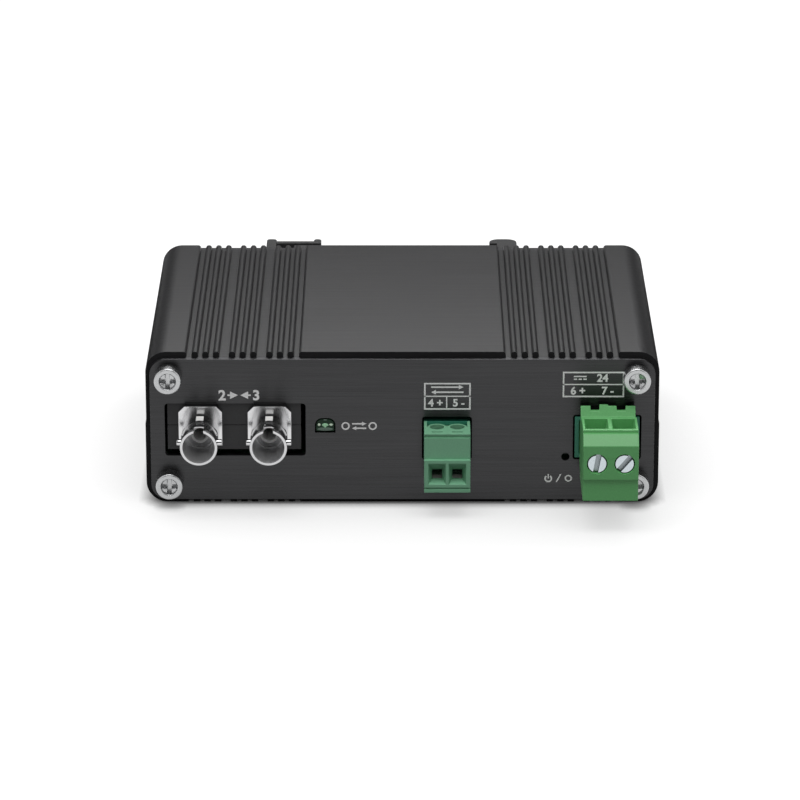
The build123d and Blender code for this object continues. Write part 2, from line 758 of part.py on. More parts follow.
with BuildPart() as data_plug:
    with BuildSketch(Plane.YZ.offset(data_x)):
        with BuildLine():
            Polyline(
                (plug_rear, data_plug_bottom),
                (data_foot_front, data_plug_bottom),
                (data_foot_front, data_groove_bottom),
                (data_foot_front + data_groove_depth, data_groove_bottom),
                (data_foot_front + data_groove_depth, data_groove_top),
                (data_foot_front, data_groove_top),
                (data_foot_front, data_ledge_height),
                (data_front, data_ledge_height),
                (data_front, data_slot_height),
                (data_front + data_groove_depth, data_slot_height),
                (data_front + data_groove_depth - data_lip_lean, data_plug_top),
                (data_screw_y, data_plug_top),
                (data_screw_y, data_deck),
                (plug_rear, data_deck),
                close=True,
            )
        make_face()
    extrude(amount=data_plug_width / 2, both=True)
    with BuildSketch(Plane.XY.offset(data_deck)):
        with Locations((data_x, data_screw_y)):
            with GridLocations(data_pitch, 0, 2, 1):
                Circle(data_tower_radius)
            with GridLocations(data_plug_width - data_rail_width, 0, 2, 1):
                Rectangle(data_rail_width, plug_rear - data_screw_y, align=(Align.CENTER, Align.MIN))
    extrude(amount=data_deck_drop)
    with BuildSketch(facing_front(data_tongue_rear)):
        with Locations((data_x, data_tongue_bottom)):
            Rectangle(data_tongue_width, data_tongue_height, align=(Align.CENTER, Align.MIN))
    extrude(amount=data_tongue_depth)
    with BuildSketch(Plane.XY.offset(data_chamber_bottom)):
        with Locations((data_x, data_chamber_front)):
            with GridLocations(data_pitch, 0, 2, 1):
                Rectangle(
                    data_clamp_width + 4 * contact_gap,
                    data_chamber_rear - data_chamber_front,
                    align=(Align.CENTER, Align.MIN),
                )
    extrude(amount=data_chamber_top - data_chamber_bottom, mode=Mode.SUBTRACT)
    with BuildSketch(Plane.XY.offset(data_plug_top)):
        with Locations((data_x, data_screw_y)):
            with GridLocations(data_pitch, 0, 2, 1):
                Circle(data_screw_hole_radius)
    extrude(amount=-(data_plug_top - data_shoulder_top), mode=Mode.SUBTRACT)
    with BuildSketch(Plane.XY.offset(data_shoulder_top)):
        with Locations((data_x, data_screw_y)):
            with GridLocations(data_pitch, 0, 2, 1):
                Circle(data_shank_radius + 2 * contact_gap)
    extrude(amount=-data_shoulder, mode=Mode.SUBTRACT)
    with BuildSketch(Plane.XY.offset(data_plug_top)):
        with Locations((data_x, panel_face - data_mark_reach)):
            with GridLocations(data_pitch, 0, 2, 1):
                Rectangle(data_mark_width, data_mark_length)
    extrude(amount=-data_mark_depth, mode=Mode.SUBTRACT)
    for pole_x in (data_x - data_pitch / 2, data_x + data_pitch / 2):
        with BuildSketch(facing_front(data_foot_front)):
            with Locations((pole_x, data_wire_height + data_funnel_rise)):
                Rectangle(data_funnel_width, data_funnel_height)
        with BuildSketch(facing_front(data_foot_front + data_funnel_depth)):
            with Locations((pole_x, data_wire_height)):
                Rectangle(data_wire_width, data_wire_opening)
        loft(mode=Mode.SUBTRACT)
    with BuildSketch(facing_front(data_foot_front)):
        with Locations((data_x, data_wire_height)):
            with GridLocations(data_pitch, 0, 2, 1):
                Rectangle(data_wire_width, data_wire_opening)
    extrude(amount=-(data_screw_y - data_foot_front), mode=Mode.SUBTRACT)
    with BuildSketch(facing_front(data_chamber_rear)):
        with Locations((data_x, data_bar_bottom - contact_gap)):
            with GridLocations(data_pitch, 0, 2, 1):
                Rectangle(
                    data_socket_width + 2 * contact_gap,
                    data_bar_thickness + data_socket_height + 2 * contact_gap,
                    align=(Align.CENTER, Align.MIN),
                )
    extrude(amount=-(data_socket_front - data_chamber_rear), mode=Mode.SUBTRACT)
    with BuildSketch(facing_front(data_chamber_rear)):
        with Locations((data_x, data_pin_z)):
            with GridLocations(data_pitch, 0, 2, 1):
                Rectangle(data_socket_width + 2 * contact_gap, data_socket_height + 2 * contact_gap)
    extrude(amount=-(data_tongue_rear - data_chamber_rear), mode=Mode.SUBTRACT)
data_plug.part.label = "data_plug"
export_step(data_plug.part, "parts/data_plug.step")

# Data plug contacts: a bar through each clamp, a riser, and a box socket for the pin
with BuildPart() as data_plug_contacts:
    with BuildSketch(Plane.XY.offset(data_bar_bottom)):
        with Locations((data_x, data_bar_front)):
            with GridLocations(data_pitch, 0, 2, 1):
                Rectangle(
                    data_bar_width,
                    data_socket_front - data_bar_front - contact_gap,
                    align=(Align.CENTER, Align.MIN),
                )
    extrude(amount=data_bar_thickness)
    with BuildSketch(facing_front(data_socket_front - contact_gap)):
        with Locations((data_x, data_bar_bottom)):
            with GridLocations(data_pitch, 0, 2, 1):
                Rectangle(
                    data_socket_width,
                    data_bar_thickness + data_socket_height,
                    align=(Align.CENTER, Align.MIN),
                )
    extrude(amount=data_bar_thickness)
    with BuildSketch(facing_front(data_tongue_rear - header_floor_gap)):
        with Locations((data_x, data_pin_z)):
            with GridLocations(data_pitch, 0, 2, 1):
                Rectangle(data_socket_width, data_socket_height)
    extrude(amount=data_tongue_rear - header_floor_gap - data_socket_front + contact_gap)
    with BuildSketch(facing_front(data_tongue_rear)):
        with Locations((data_x, data_pin_z)):
            with GridLocations(data_pitch, 0, 2, 1):
                Rectangle(pin_size + 2 * pin_gap, pin_size + 2 * pin_gap)
    extrude(amount=data_tongue_rear - data_socket_front, mode=Mode.SUBTRACT)
data_plug_contacts.part.label = "data_plug_contacts"
export_step(data_plug_contacts.part, "parts/data_plug_contacts.step")

# Data screws and the clamps that climb them
for side_name, pole_x in (("left", data_x - data_pitch / 2), ("right", data_x + data_pitch / 2)):
    with BuildPart() as data_screw:
        with BuildSketch(Plane.XY.offset(data_head_bottom)):
            with Locations((pole_x, data_screw_y)):
                Circle(data_head_radius)
        extrude(amount=data_head_height)
        with BuildSketch(Plane.XY.offset(data_head_top)):
            with Locations((pole_x, data_screw_y)):
                Rectangle(2 * data_head_radius, data_slot_width)
        extrude(amount=-data_slot_depth, mode=Mode.SUBTRACT)
        with BuildSketch(Plane.XY.offset(data_head_bottom)):
            with Locations((pole_x, data_screw_y)):
                Circle(data_shank_radius)
        extrude(amount=-(data_head_bottom - data_socket_bottom - plug_gap))
    data_screw.part.label = f"data_screw_{side_name}"
    export_step(data_screw.part, f"parts/data_screw_{side_name}.step")

    with BuildPart() as data_clamp:
        with BuildSketch(facing_front(data_screw_y + data_clamp_length / 2)):
            with Locations((pole_x, data_clamp_bottom)):
                Rectangle(
                    data_clamp_width, data_clamp_top - data_clamp_bottom, align=(Align.CENTER, Align.MIN)
                )
            with Locations((pole_x, data_clamp_floor)):
                Rectangle(
                    data_clamp_width - 2 * data_clamp_wall,
                    data_clamp_top - data_clamp_nut - data_clamp_floor,
                    align=(Align.CENTER, Align.MIN),
                    mode=Mode.SUBTRACT,
                )
        extrude(amount=data_clamp_length)
        with BuildSketch(Plane.XY.offset(data_clamp_top)):
            with Locations((pole_x, data_screw_y)):
                Circle(data_shank_radius + contact_gap)
        extrude(amount=-data_clamp_nut, mode=Mode.SUBTRACT)
    data_clamp.part.label = f"data_clamp_{side_name}"
    export_step(data_clamp.part, f"parts/data_clamp_{side_name}.step")

# Power plug: screws in front, a sloping brow, wire funnels in the top frame and a notched rib behind
power_front = panel_face - power_plug_reach
power_head_front = power_front + power_head_recess
power_head_rear = power_head_front + power_head_height
power_shoulder_front = power_head_rear + contact_gap
power_chamber_front = power_shoulder_front + power_shoulder
power_nut_front = power_chamber_front + 2 * contact_gap + power_clamp_travel
power_bar_front = power_nut_front + power_clamp_nut + power_bar_gap
power_wire_front = power_bar_front + power_bar_thickness
power_plate_front = power_wire_front + power_wire_space
power_clamp_rear = power_plate_front + power_clamp_plate
power_chamber_rear = power_clamp_rear + plug_gap
power_chamber_bottom = power_screw_height - power_clamp_height / 2 - plug_gap
power_chamber_top = power_screw_height + power_clamp_height / 2 + plug_gap
power_funnel_bottom = power_plug_top - power_funnel_depth
power_funnel_y = panel_face - (power_frame_front + power_frame_rear) / 2
power_throat_y = power_wire_front + power_wire_space / 2
power_tongue_rear = plug_rear + power_tongue_depth
power_tongue_height = power_header_height - 2 * power_header_wall - 2 * tongue_gap
power_tongue_bottom = header_bottom + power_header_wall + tongue_gap
power_socket_front = power_bar_front + power_strip_length
power_frame_base = power_plug_top - power_frame_step
power_heel_front = panel_face - screw_head_height - power_heel_gap
with BuildPart() as power_plug:
    with BuildSketch(Plane.YZ.offset(power_x)):
        with BuildLine():
            Polyline(
                (plug_rear, power_heel_height),
                (power_heel_front, power_heel_height),
                (power_heel_front, power_plug_bottom),
                (power_front + power_chin_setback, power_plug_bottom),
                (power_front + power_chin_setback, power_waist_height),
                (power_front, power_waist_height),
                (power_front, power_brow_height),
                (power_front + power_brow_run, power_frame_base),
                (panel_face - power_frame_front, power_frame_base),
                (panel_face - power_frame_front, power_plug_top),
                (panel_face - power_frame_rear, power_plug_top),
                (panel_face - power_frame_rear, power_valley_height),
                (panel_face - power_rib_front, power_valley_height),
                (panel_face - power_rib_front, power_rib_height),
                (panel_face - power_rib_rear, power_rib_height),
                (panel_face - power_rib_rear, power_rear_height),
                (plug_rear, power_rear_height),
                close=True,
            )
        make_face()
    extrude(amount=power_plug_width / 2, both=True)
    with BuildSketch(facing_front(panel_face - power_rib_rear)):
        with Locations((power_x, power_rib_height)):
            Rectangle(power_plug_width, power_tooth_rise, align=(Align.CENTER, Align.MIN))
            with GridLocations(2 * power_notch_offset, 0, 2, 1):
                Rectangle(
                    power_notch_width, power_tooth_rise, align=(Align.CENTER, Align.MIN), mode=Mode.SUBTRACT
                )
            Rectangle(
                power_notch_offset - power_notch_width / 2,
                power_tooth_rise + power_tooth_step,
                align=(Align.MAX, Align.MIN),
            )
    extrude(amount=power_rib_front - power_rib_rear)
    with BuildSketch(facing_front(power_tongue_rear)):
        with Locations((power_x, power_tongue_bottom)):
            Rectangle(
                power_header_width - 2 * power_header_wall - 2 * tongue_gap,
                power_tongue_height,
                align=(Align.CENTER, Align.MIN),
            )
    extrude(amount=power_tongue_depth)
    with BuildSketch(facing_front(power_chamber_rear)):
        with Locations((power_x, power_chamber_bottom)):
            with GridLocations(power_pitch, 0, 2, 1):
                Rectangle(
                    power_clamp_width + 2 * plug_gap,
                    power_chamber_top - power_chamber_bottom,
                    align=(Align.CENTER, Align.MIN),
                )
    extrude(amount=power_chamber_rear - power_chamber_front, mode=Mode.SUBTRACT)
    with BuildSketch(facing_front(power_front)):
        with Locations((power_x, power_screw_height)):
            with GridLocations(power_pitch, 0, 2, 1):
                Circle(power_head_radius + power_head_gap)
    extrude(amount=-(power_shoulder_front - power_front), mode=Mode.SUBTRACT)
    with BuildSketch(facing_front(power_shoulder_front)):
        with Locations((power_x, power_screw_height)):
            with GridLocations(power_pitch, 0, 2, 1):
                Circle(power_shank_radius + 2 * contact_gap)
    extrude(amount=-power_shoulder, mode=Mode.SUBTRACT)
    for pole_x in (power_x - power_pitch / 2, power_x + power_pitch / 2):
        with BuildSketch(Plane.XY.offset(power_plug_top)):
            with Locations((pole_x, power_funnel_y)):
                Rectangle(power_funnel_width, power_funnel_length)
        with BuildSketch(Plane.XY.offset(power_funnel_bottom)):
            with Locations((pole_x, power_throat_y)):
                Rectangle(power_throat_width, power_throat_length)
        loft(mode=Mode.SUBTRACT)
    with BuildSketch(Plane.XY.offset(power_funnel_bottom)):
        with Locations((power_x, power_throat_y)):
            with GridLocations(power_pitch, 0, 2, 1):
                Rectangle(power_throat_width, power_throat_length)
    extrude(amount=-(power_funnel_bottom - power_chamber_top), mode=Mode.SUBTRACT)
    with BuildSketch(Plane.XY.offset(power_bar_bottom - contact_gap)):
        with Locations((power_x, power_bar_front - contact_gap)):
            with GridLocations(power_pitch, 0, 2, 1):
                Rectangle(
                    power_bar_width + 2 * contact_gap,
                    power_strip_length + 2 * contact_gap,
                    align=(Align.CENTER, Align.MIN),
                )
    extrude(amount=power_chamber_bottom - power_bar_bottom + contact_gap, mode=Mode.SUBTRACT)
    with BuildSketch(facing_front(power_tongue_rear)):
        with Locations((power_x, power_pin_z)):
            with GridLocations(power_pitch, 0, 2, 1):
                Rectangle(power_socket_width + 2 * contact_gap, power_socket_height + 2 * contact_gap)
    extrude(amount=power_tongue_rear - power_chamber_rear - plug_gap, mode=Mode.SUBTRACT)
power_plug.part.label = "power_plug"
export_step(power_plug.part, "parts/power_plug.step")

# Power plug contacts: an upright bar through each clamp, a strip below it and a box socket
with BuildPart() as power_plug_contacts:
    with BuildSketch(facing_front(power_bar_front + power_bar_thickness)):
        with Locations((power_x, power_bar_bottom)):
            with GridLocations(power_pitch, 0, 2, 1):
                Rectangle(
                    power_bar_width,
                    power_chamber_top - contact_gap - power_bar_bottom,
                    align=(Align.CENTER, Align.MIN),
                )
    extrude(amount=power_bar_thickness)
    with BuildSketch(Plane.XY.offset(power_bar_bottom)):
        with Locations((power_x, power_bar_front)):
            with GridLocations(power_pitch, 0, 2, 1):
                Rectangle(power_bar_width, power_strip_length, align=(Align.CENTER, Align.MIN))
    extrude(amount=power_strip_thickness)
    with BuildSketch(facing_front(power_tongue_rear - header_floor_gap)):
        with Locations((power_x, power_pin_z)):
            with GridLocations(power_pitch, 0, 2, 1):
                Rectangle(power_socket_width, power_socket_height)
                Rectangle(pin_size + 2 * pin_gap, pin_size + 2 * pin_gap, mode=Mode.SUBTRACT)
    extrude(amount=power_tongue_rear - header_floor_gap - power_chamber_rear - 2 * plug_gap)
power_plug_contacts.part.label = "power_plug_contacts"
export_step(power_plug_contacts.part, "parts/power_plug_contacts.step")

# Power screws and the clamps that they draw forward
power_poles = (
    ("left", power_x - power_pitch / 2, power_slot_angles[0]),
    ("right", power_x + power_pitch / 2, power_slot_angles[1]),
)
for side_name, pole_x, slot_angle in power_poles:
    with BuildPart() as power_screw:
        with BuildSketch(facing_front(power_head_rear)):
            with Locations((pole_x, power_screw_height)):
                Circle(power_head_radius)
        extrude(amount=power_head_height)
        with BuildSketch(facing_front(power_head_front)):
            with Locations((pole_x, power_screw_height)):
                Rectangle(2 * power_head_radius, power_slot_width, rotation=slot_angle)
        extrude(amount=-power_slot_depth, mode=Mode.SUBTRACT)
        with BuildSketch(facing_front(power_head_rear)):
            with Locations((pole_x, power_screw_height)):
                Circle(power_shank_radius)
        extrude(amount=-(power_bar_front - plug_gap - power_head_rear))
    power_screw.part.label = f"power_screw_{side_name}"
    export_step(power_screw.part, f"parts/power_screw_{side_name}.step")

    with BuildPart() as power_clamp:
        with BuildSketch(Plane.XY.offset(power_screw_height - power_clamp_height / 2)):
            with Locations((pole_x, power_nut_front)):
                Rectangle(
                    power_clamp_width, power_clamp_rear - power_nut_front, align=(Align.CENTER, Align.MIN)
                )
            with Locations((pole_x, power_nut_front + power_clamp_nut)):
                Rectangle(
                    power_clamp_width - 2 * power_clamp_wall,
                    power_plate_front - power_nut_front - power_clamp_nut,
                    align=(Align.CENTER, Align.MIN),
                    mode=Mode.SUBTRACT,
                )
        extrude(amount=power_clamp_height)
        with BuildSketch(facing_front(power_nut_front)):
            with Locations((pole_x, power_screw_height)):
                Circle(power_shank_radius + contact_gap)
        extrude(amount=-power_clamp_nut, mode=Mode.SUBTRACT)
    power_clamp.part.label = f"power_clamp_{side_name}"
    export_step(power_clamp.part, f"parts/power_clamp_{side_name}.step")

# Rail bracket: seat, fixed hook, and a channel underneath for the latch's tail and spring
clip_height = case_height - 2 * clip_end_inset
seat_y = rear_face + bracket_thickness
arm_y = seat_y + hook_gap
clip_end_y = rear_face + clip_reach
latch_tip = hook_inner - rail_side_gap - rail_width + latch_overlap
tail_y = rear_face + latch_gap
tail_end_y = tail_y + latch_tail_thickness
channel_ceiling = tail_end_y + latch_gap
tail_right = latch_tip + latch_tail_run
window_end = tail_right - latch_end_wall
spring_length = spring_pressed_length + latch_travel
post_right = window_end - spring_length
post_left = post_right - spring_post_width
window_start = post_left - latch_gap
channel_right = tail_right + plug_gap
with BuildPart() as rail_bracket:
    with BuildSketch(Plane.XY.offset(clip_end_inset)) as bracket_profile:
        with BuildLine():
            Polyline(
                (bracket_left, rear_face),
                (hook_inner + hook_width, rear_face),
                (hook_inner + hook_width, clip_end_y),
                (hook_inner - hook_overhang, clip_end_y),
                (hook_inner - hook_overhang, arm_y),
                (hook_inner, arm_y),
                (hook_inner, seat_y),
                (bracket_left, seat_y),
                close=True,
            )
        make_face()
        fillet(bracket_profile.vertices().group_by(Axis.Y)[-1], radius=hook_round)
    extrude(amount=clip_height)
    with BuildSketch(facing_front(rear_face)):
        with Locations((bracket_left, mid_height)):
            Rectangle(
                channel_right - bracket_left,
                latch_tail_height + 2 * latch_gap,
                align=(Align.MIN, Align.CENTER),
            )
    extrude(amount=-(channel_ceiling - rear_face), mode=Mode.SUBTRACT)
    with BuildSketch(facing_front(channel_ceiling)):
        with Locations((post_left, mid_height)):
            Rectangle(spring_post_width, spring_post_height, align=(Align.MIN, Align.CENTER))
    extrude(amount=channel_ceiling - tail_y)
    with Locations([Location((x, seat_y, mid_height), (-90, 0, 0)) for x in bracket_screw_xs]):
        CounterSinkHole(bracket_screw_radius + fit, bracket_head_radius + fit, bracket_thickness)
rail_bracket.part.label = "rail_bracket"
export_step(rail_bracket.part, "parts/rail_bracket.step")

# Rail latch: an arm with a nose that catches the rail, and a tail with the spring's window
with BuildPart() as rail_latch:
    with BuildSketch(Plane.XY.offset(clip_end_inset)):
        with BuildLine():
            Polyline(
                (latch_outer, tail_y),
                (latch_outer + latch_wall, tail_y),
                (latch_outer + latch_wall, arm_y),
                (latch_arm_tip, arm_y),
                (latch_arm_tip, clip_end_y),
                (latch_arm_tip - latch_tip_width, clip_end_y),
                (latch_arm_tip - latch_tip_width, arm_y + latch_arm_thickness),
                (latch_outer + latch_wall, arm_y + latch_arm_thickness),
                (latch_outer + latch_wall, clip_end_y),
                (latch_outer, clip_end_y),
                close=True,
            )
        make_face()
    extrude(amount=clip_height)
    with BuildSketch(Plane.XY.offset(mid_height)):
        with BuildLine():
            Polyline(
                (latch_arm_tip, arm_y),
                (latch_tip, arm_y),
                (latch_tip, arm_y + latch_lead_in),
                (latch_arm_tip, arm_y + latch_lead_in + latch_arm_thickness),
                close=True,
            )
        make_face()
    extrude(amount=latch_tongue_height / 2, both=True)
    with BuildSketch(facing_front(tail_end_y)):
        with Locations((latch_outer + latch_wall, mid_height)):
            Rectangle(
                tail_right - latch_outer - latch_wall, latch_tail_height, align=(Align.MIN, Align.CENTER)
            )
        with Locations((window_start, mid_height)):
            Rectangle(
                window_end - window_start,
                spring_window_height,
                align=(Align.MIN, Align.CENTER),
                mode=Mode.SUBTRACT,
            )
    extrude(amount=latch_tail_thickness)
rail_latch.part.label = "rail_latch"
export_step(rail_latch.part, "parts/rail_latch.step")

# Latch spring: a compression coil between the bracket's post and the end of the latch's window
spring_height = spring_length - 2 * spring_end_gap - 2 * spring_wire
spring_start = (post_right + spring_end_gap + spring_wire, (tail_y + tail_end_y) / 2, mid_height)
with BuildPart() as rail_latch_spring:
    with BuildLine() as coil:
        Helix(
            spring_height / spring_turns,
            spring_height,
            spring_radius,
            center=spring_start,
            direction=(1, 0, 0),
        )
    with BuildSketch(Plane(origin=coil.line @ 0, z_dir=coil.line % 0)):
        RegularPolygon(spring_wire, 6)
    sweep(path=coil.line, is_frenet=True)
rail_latch_spring.part.label = "rail_latch_spring"
export_step(rail_latch_spring.part, "parts/rail_latch_spring.step")

# Bracket screws: countersunk, threaded into the rear panel
with BuildPart() as rail_bracket_screws:
    with BuildSketch(facing_rear(seat_y - bracket_head_sink)):
        with Locations([(-x, mid_height) for x in bracket_screw_xs]):
            Circle(bracket_head_radius - bracket_head_sink)
    extrude(amount=-(bracket_head_radius - bracket_head_sink - bracket_screw_radius), taper=45)
    with BuildSketch(facing_rear(seat_y - bracket_head_sink)):
        with Locations([(-x, mid_height) for x in bracket_screw_xs]):
            Circle(bracket_screw_radius)
    extrude(amount=-(bracket_thickness - bracket_head_sink + panel_thickness + bracket_screw_tail))
    with BuildSketch(facing_rear(seat_y - bracket_head_sink)):
        with Locations([(-x, mid_height) for x in bracket_screw_xs]):
            Rectangle(cross_span, cross_width)
            Rectangle(cross_width, cross_span)
    extrude(amount=-bracket_cross_depth, mode=Mode.SUBTRACT)
rail_bracket_screws.part.label = "rail_bracket_screws"
export_step(rail_bracket_screws.part, "parts/rail_bracket_screws.step")

# Parts soldered on the board
board_blocks = (
    ("dc_converter", converter_size, (power_x - converter_setback, converter_y)),
    ("controller_chip", controller_size, controller_place),
    ("line_driver_chip", driver_size, (data_x, driver_y)),
)
for block_name, (block_width, block_depth, block_height), block_place in board_blocks:
    with BuildPart() as board_block:
        with BuildSketch(Plane.XY.offset(board_top)):
            with Locations(block_place):
                Rectangle(block_width, block_depth)
        extrude(amount=block_height)
    board_block.part.label = block_name
    export_step(board_block.part, f"parts/{block_name}.step")

with BuildPart() as input_capacitor:
    with BuildSketch(Plane.XY.offset(board_top)):
        with Locations((power_x - capacitor_setback, capacitor_y)):
            Circle(capacitor_radius)
    extrude(amount=capacitor_height)
input_capacitor.part.label = "input_capacitor"
export_step(input_capacitor.part, "parts/input_capacitor.step")
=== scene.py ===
"""Looks of the fibre media converter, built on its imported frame: metres, front towards -Y, +Z up."""

import json
import math

import bmesh
import bpy
from mathutils import Matrix, Vector


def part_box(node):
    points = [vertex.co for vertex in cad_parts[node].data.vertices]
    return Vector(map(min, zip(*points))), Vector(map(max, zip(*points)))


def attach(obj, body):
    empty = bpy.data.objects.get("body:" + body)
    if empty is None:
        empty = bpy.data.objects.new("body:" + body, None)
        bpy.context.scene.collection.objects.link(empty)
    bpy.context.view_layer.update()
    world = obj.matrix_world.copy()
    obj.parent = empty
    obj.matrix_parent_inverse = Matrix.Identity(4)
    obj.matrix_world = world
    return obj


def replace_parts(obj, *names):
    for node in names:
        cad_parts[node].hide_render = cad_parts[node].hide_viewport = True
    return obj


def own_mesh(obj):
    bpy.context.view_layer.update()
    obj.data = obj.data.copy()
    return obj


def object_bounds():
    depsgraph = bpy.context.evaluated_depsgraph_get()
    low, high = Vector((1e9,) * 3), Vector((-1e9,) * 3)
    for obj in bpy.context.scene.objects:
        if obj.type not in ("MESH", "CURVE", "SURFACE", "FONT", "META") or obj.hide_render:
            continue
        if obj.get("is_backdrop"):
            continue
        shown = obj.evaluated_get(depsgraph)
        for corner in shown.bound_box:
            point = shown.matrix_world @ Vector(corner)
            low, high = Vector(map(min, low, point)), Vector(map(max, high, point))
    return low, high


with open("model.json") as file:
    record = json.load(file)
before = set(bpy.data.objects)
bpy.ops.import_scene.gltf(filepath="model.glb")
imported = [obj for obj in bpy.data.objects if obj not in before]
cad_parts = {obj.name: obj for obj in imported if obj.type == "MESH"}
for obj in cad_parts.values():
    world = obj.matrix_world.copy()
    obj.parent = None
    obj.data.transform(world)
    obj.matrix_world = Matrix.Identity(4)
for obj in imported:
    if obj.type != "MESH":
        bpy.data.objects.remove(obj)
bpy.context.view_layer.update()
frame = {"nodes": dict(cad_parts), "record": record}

# Case: two extruded aluminium half shells, sawn to length and anodised satin black.
# They hold each other by a lap joint; the rib tops are rounded by the die, the sawn ends are dull, with a
# tone painted darker as shade on the upper shell and paler as light on the lower.
MM = 0.001


def linear(colour):
    """An sRGB hex colour as linear RGBA."""
    shares = [int(colour[i : i + 2], 16) / 255 for i in (1, 3, 5)]
    return [s / 12.92 if s <= 0.04045 else ((s + 0.055) / 1.055) ** 2.4 for s in shares] + [1.0]


def add(tree, kind, values=None, links=None, **settings):
    """Adds one node with its settings, its socket values and its links."""
    made = tree.nodes.new(kind)
    for name, value in settings.items():
        setattr(made, name, value)
    for socket, value in (values or {}).items():
        made.inputs[socket].default_value = value
    for socket, source in (links or {}).items():
        tree.links.new(source, made.inputs[socket])
    return made


def empty_material(name):
    """A material with an empty node tree."""
    material = bpy.data.materials.new(name)
    material.use_nodes = True
    material.node_tree.nodes.clear()
    return material


def finish(name, tones, grain, gloss, values=None):
    """A material whose tone and gloss follow one grain; grain is its size in mm along X, Y and Z."""
    material = empty_material(name)
    tree = material.node_tree
    place = add(tree, "ShaderNodeTexCoord")
    scale = add(
        tree,
        "ShaderNodeMapping",
        {"Scale": [1 / (size * MM) for size in grain]},
        {"Vector": place.outputs["Object"]},
    )
    noise = add(
        tree,
        "ShaderNodeTexNoise",
        {"Scale": 1.0, "Detail": 3.0},
        {"Vector": scale.outputs["Vector"]},
    )
    spread = add(
        tree,
        "ShaderNodeMapRange",
        {"From Min": 0.3, "From Max": 0.7},
        {"Value": noise.outputs["Fac"]},
    )
    tone = add(
        tree,
        "ShaderNodeMix",
        {"A": linear(tones[0]), "B": linear(tones[1])},
        {"Factor": spread.outputs["Result"]},
        data_type="RGBA",
    )
    rough = add(
        tree,
        "ShaderNodeMapRange",
        {"To Min": gloss[0], "To Max": gloss[1]},
        {"Value": spread.outputs["Result"]},
    )
    skin = add(
        tree,
        "ShaderNodeBsdfPrincipled",
        values,
        {"Base Color": tone.outputs["Result"], "Roughness": rough.outputs["Result"]},
    )
    add(tree, "ShaderNodeOutputMaterial", None, {"Surface": skin.outputs["BSDF"]})
    return material


# Anodised skin: fine lines 0.4 mm apart run along X and change the gloss more than the tone
anodised = finish(
    "black anodised aluminium, extruded satin",
    ("#2a2a2b", "#303031"),
    (40, 0.4, 0.4),
    (0.36, 0.44),
    {"Specular Tint": linear("#868686")},
)
# Sawn ends: saw marks 0.3 mm apart, so rough and dull that they give back hardly any light; their darker
# tone is painted shade, the shadow along the front panel's top edge
sawn = finish(
    "black anodised aluminium, sawn",
    ("#202021", "#282829"),
    (6, 0.3, 0.3),
    (0.75, 0.9),
    {"Specular IOR Level": 0.1},
)
# Sawn ends of the lower shell: the same saw marks, painted a shade paler as light where they stand in shade
# at the floor
sawn_lower_painted_paler = finish(
    "black anodised aluminium, sawn, painted paler",
    ("#242425", "#2c2c2d"),
    (6, 0.3, 0.3),
    (0.75, 0.9),
    {"Specular IOR Level": 0.1},
)

BODY = {node: body for body, nodes in frame["record"]["behaviour"]["bodies"].items() for node in nodes}
SHARP = math.radians(35)
FLAT = math.radians(0.5)
SAME_POINT = 0.001 * MM


def is_sharp(edge):
    """Whether two faces meet at this edge in a corner."""
    return edge.is_manifold and edge.calc_face_angle() > SHARP


def show(mesh, name, materials, node):
    """Turns a bmesh into a smooth-shaded piece that rides with a CAD node, with the given materials."""
    for face in mesh.faces:
        face.smooth = True
    for edge in mesh.edges:
        edge.smooth = not is_sharp(edge)
    data = bpy.data.meshes.new(name)
    mesh.to_mesh(data)
    mesh.free()
    for material in materials:
        data.materials.append(material)
    piece = bpy.data.objects.new(name, data)
    bpy.context.scene.collection.objects.link(piece)
    piece.modifiers.new("flat faces stay flat", "WEIGHTED_NORMAL").keep_sharp = True
    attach(piece, BODY[node])
    return piece


def joined_copy(node):
    """A CAD node's shape with its triangles joined into whole flat faces."""
    mesh = bmesh.new()
    mesh.from_mesh(frame["nodes"][node].data)
    bmesh.ops.remove_doubles(mesh, verts=mesh.verts, dist=SAME_POINT)
    bmesh.ops.dissolve_limit(mesh, angle_limit=FLAT, verts=mesh.verts, edges=mesh.edges)
    return mesh


def round_edges(mesh, radius, edges=None, segments=2):
    """Rounds the given edges, or every sharp one, as a die, a mould or tumbling leaves them."""
    bmesh.ops.bevel(
        mesh,
        geom=[edge for edge in mesh.edges if is_sharp(edge)] if edges is None else edges,
        offset=radius,
        offset_type="OFFSET",
        segments=segments,
        profile=0.5,
        affect="EDGES",
        clamp_overlap=False,
        material=-1,
    )


RIB_ROUND = 0.56 * MM
RIB_SEGMENTS = 5
SQUARE_ON = 0.99
TOUCH = 0.01 * MM
LONG_EDGE = 1 * MM
top_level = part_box("top_shell")[1].z


def end_face(face):
    """Whether a face looks straight to the front or to the back."""
    return abs(face.normal.y) > SQUARE_ON


def rib_edge(edge):
    """Whether an edge runs from front to back along the top of a rib."""
    start, stop = (vert.co for vert in edge.verts)
    on_top = min(start.z, stop.z) > top_level - TOUCH
    return is_sharp(edge) and on_top and abs(start.y - stop.y) > LONG_EDGE


# End faces take the sawn tones: painted shade on the upper shell, painted light on the lower
for shell, ends in (("top_shell", sawn), ("bottom_shell", sawn_lower_painted_paler)):
    mesh = joined_copy(shell)
    for face in mesh.faces:
        face.material_index = int(end_face(face))
    ribs = [edge for edge in mesh.edges if rib_edge(edge)]
    if ribs:
        round_edges(mesh, RIB_ROUND, ribs, RIB_SEGMENTS)
    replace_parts(show(mesh, shell + "_finish", (anodised, ends), shell), shell)

# End panels: 1.5 mm aluminium plate, brushed along X, anodised black, then milled to outline.
# Four screws hold each of them to the shells.
PANEL_EDGE = 0.08 * MM


def dress(node, radius, *materials, choose=None):
    """Stands a finished copy of a CAD node in its place; choose gives a face's material number."""
    mesh = joined_copy(node)
    for face in mesh.faces:
        face.material_index = choose(face) if choose else 0
    round_edges(mesh, radius)
    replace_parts(show(mesh, node + "_finish", materials, node), node)


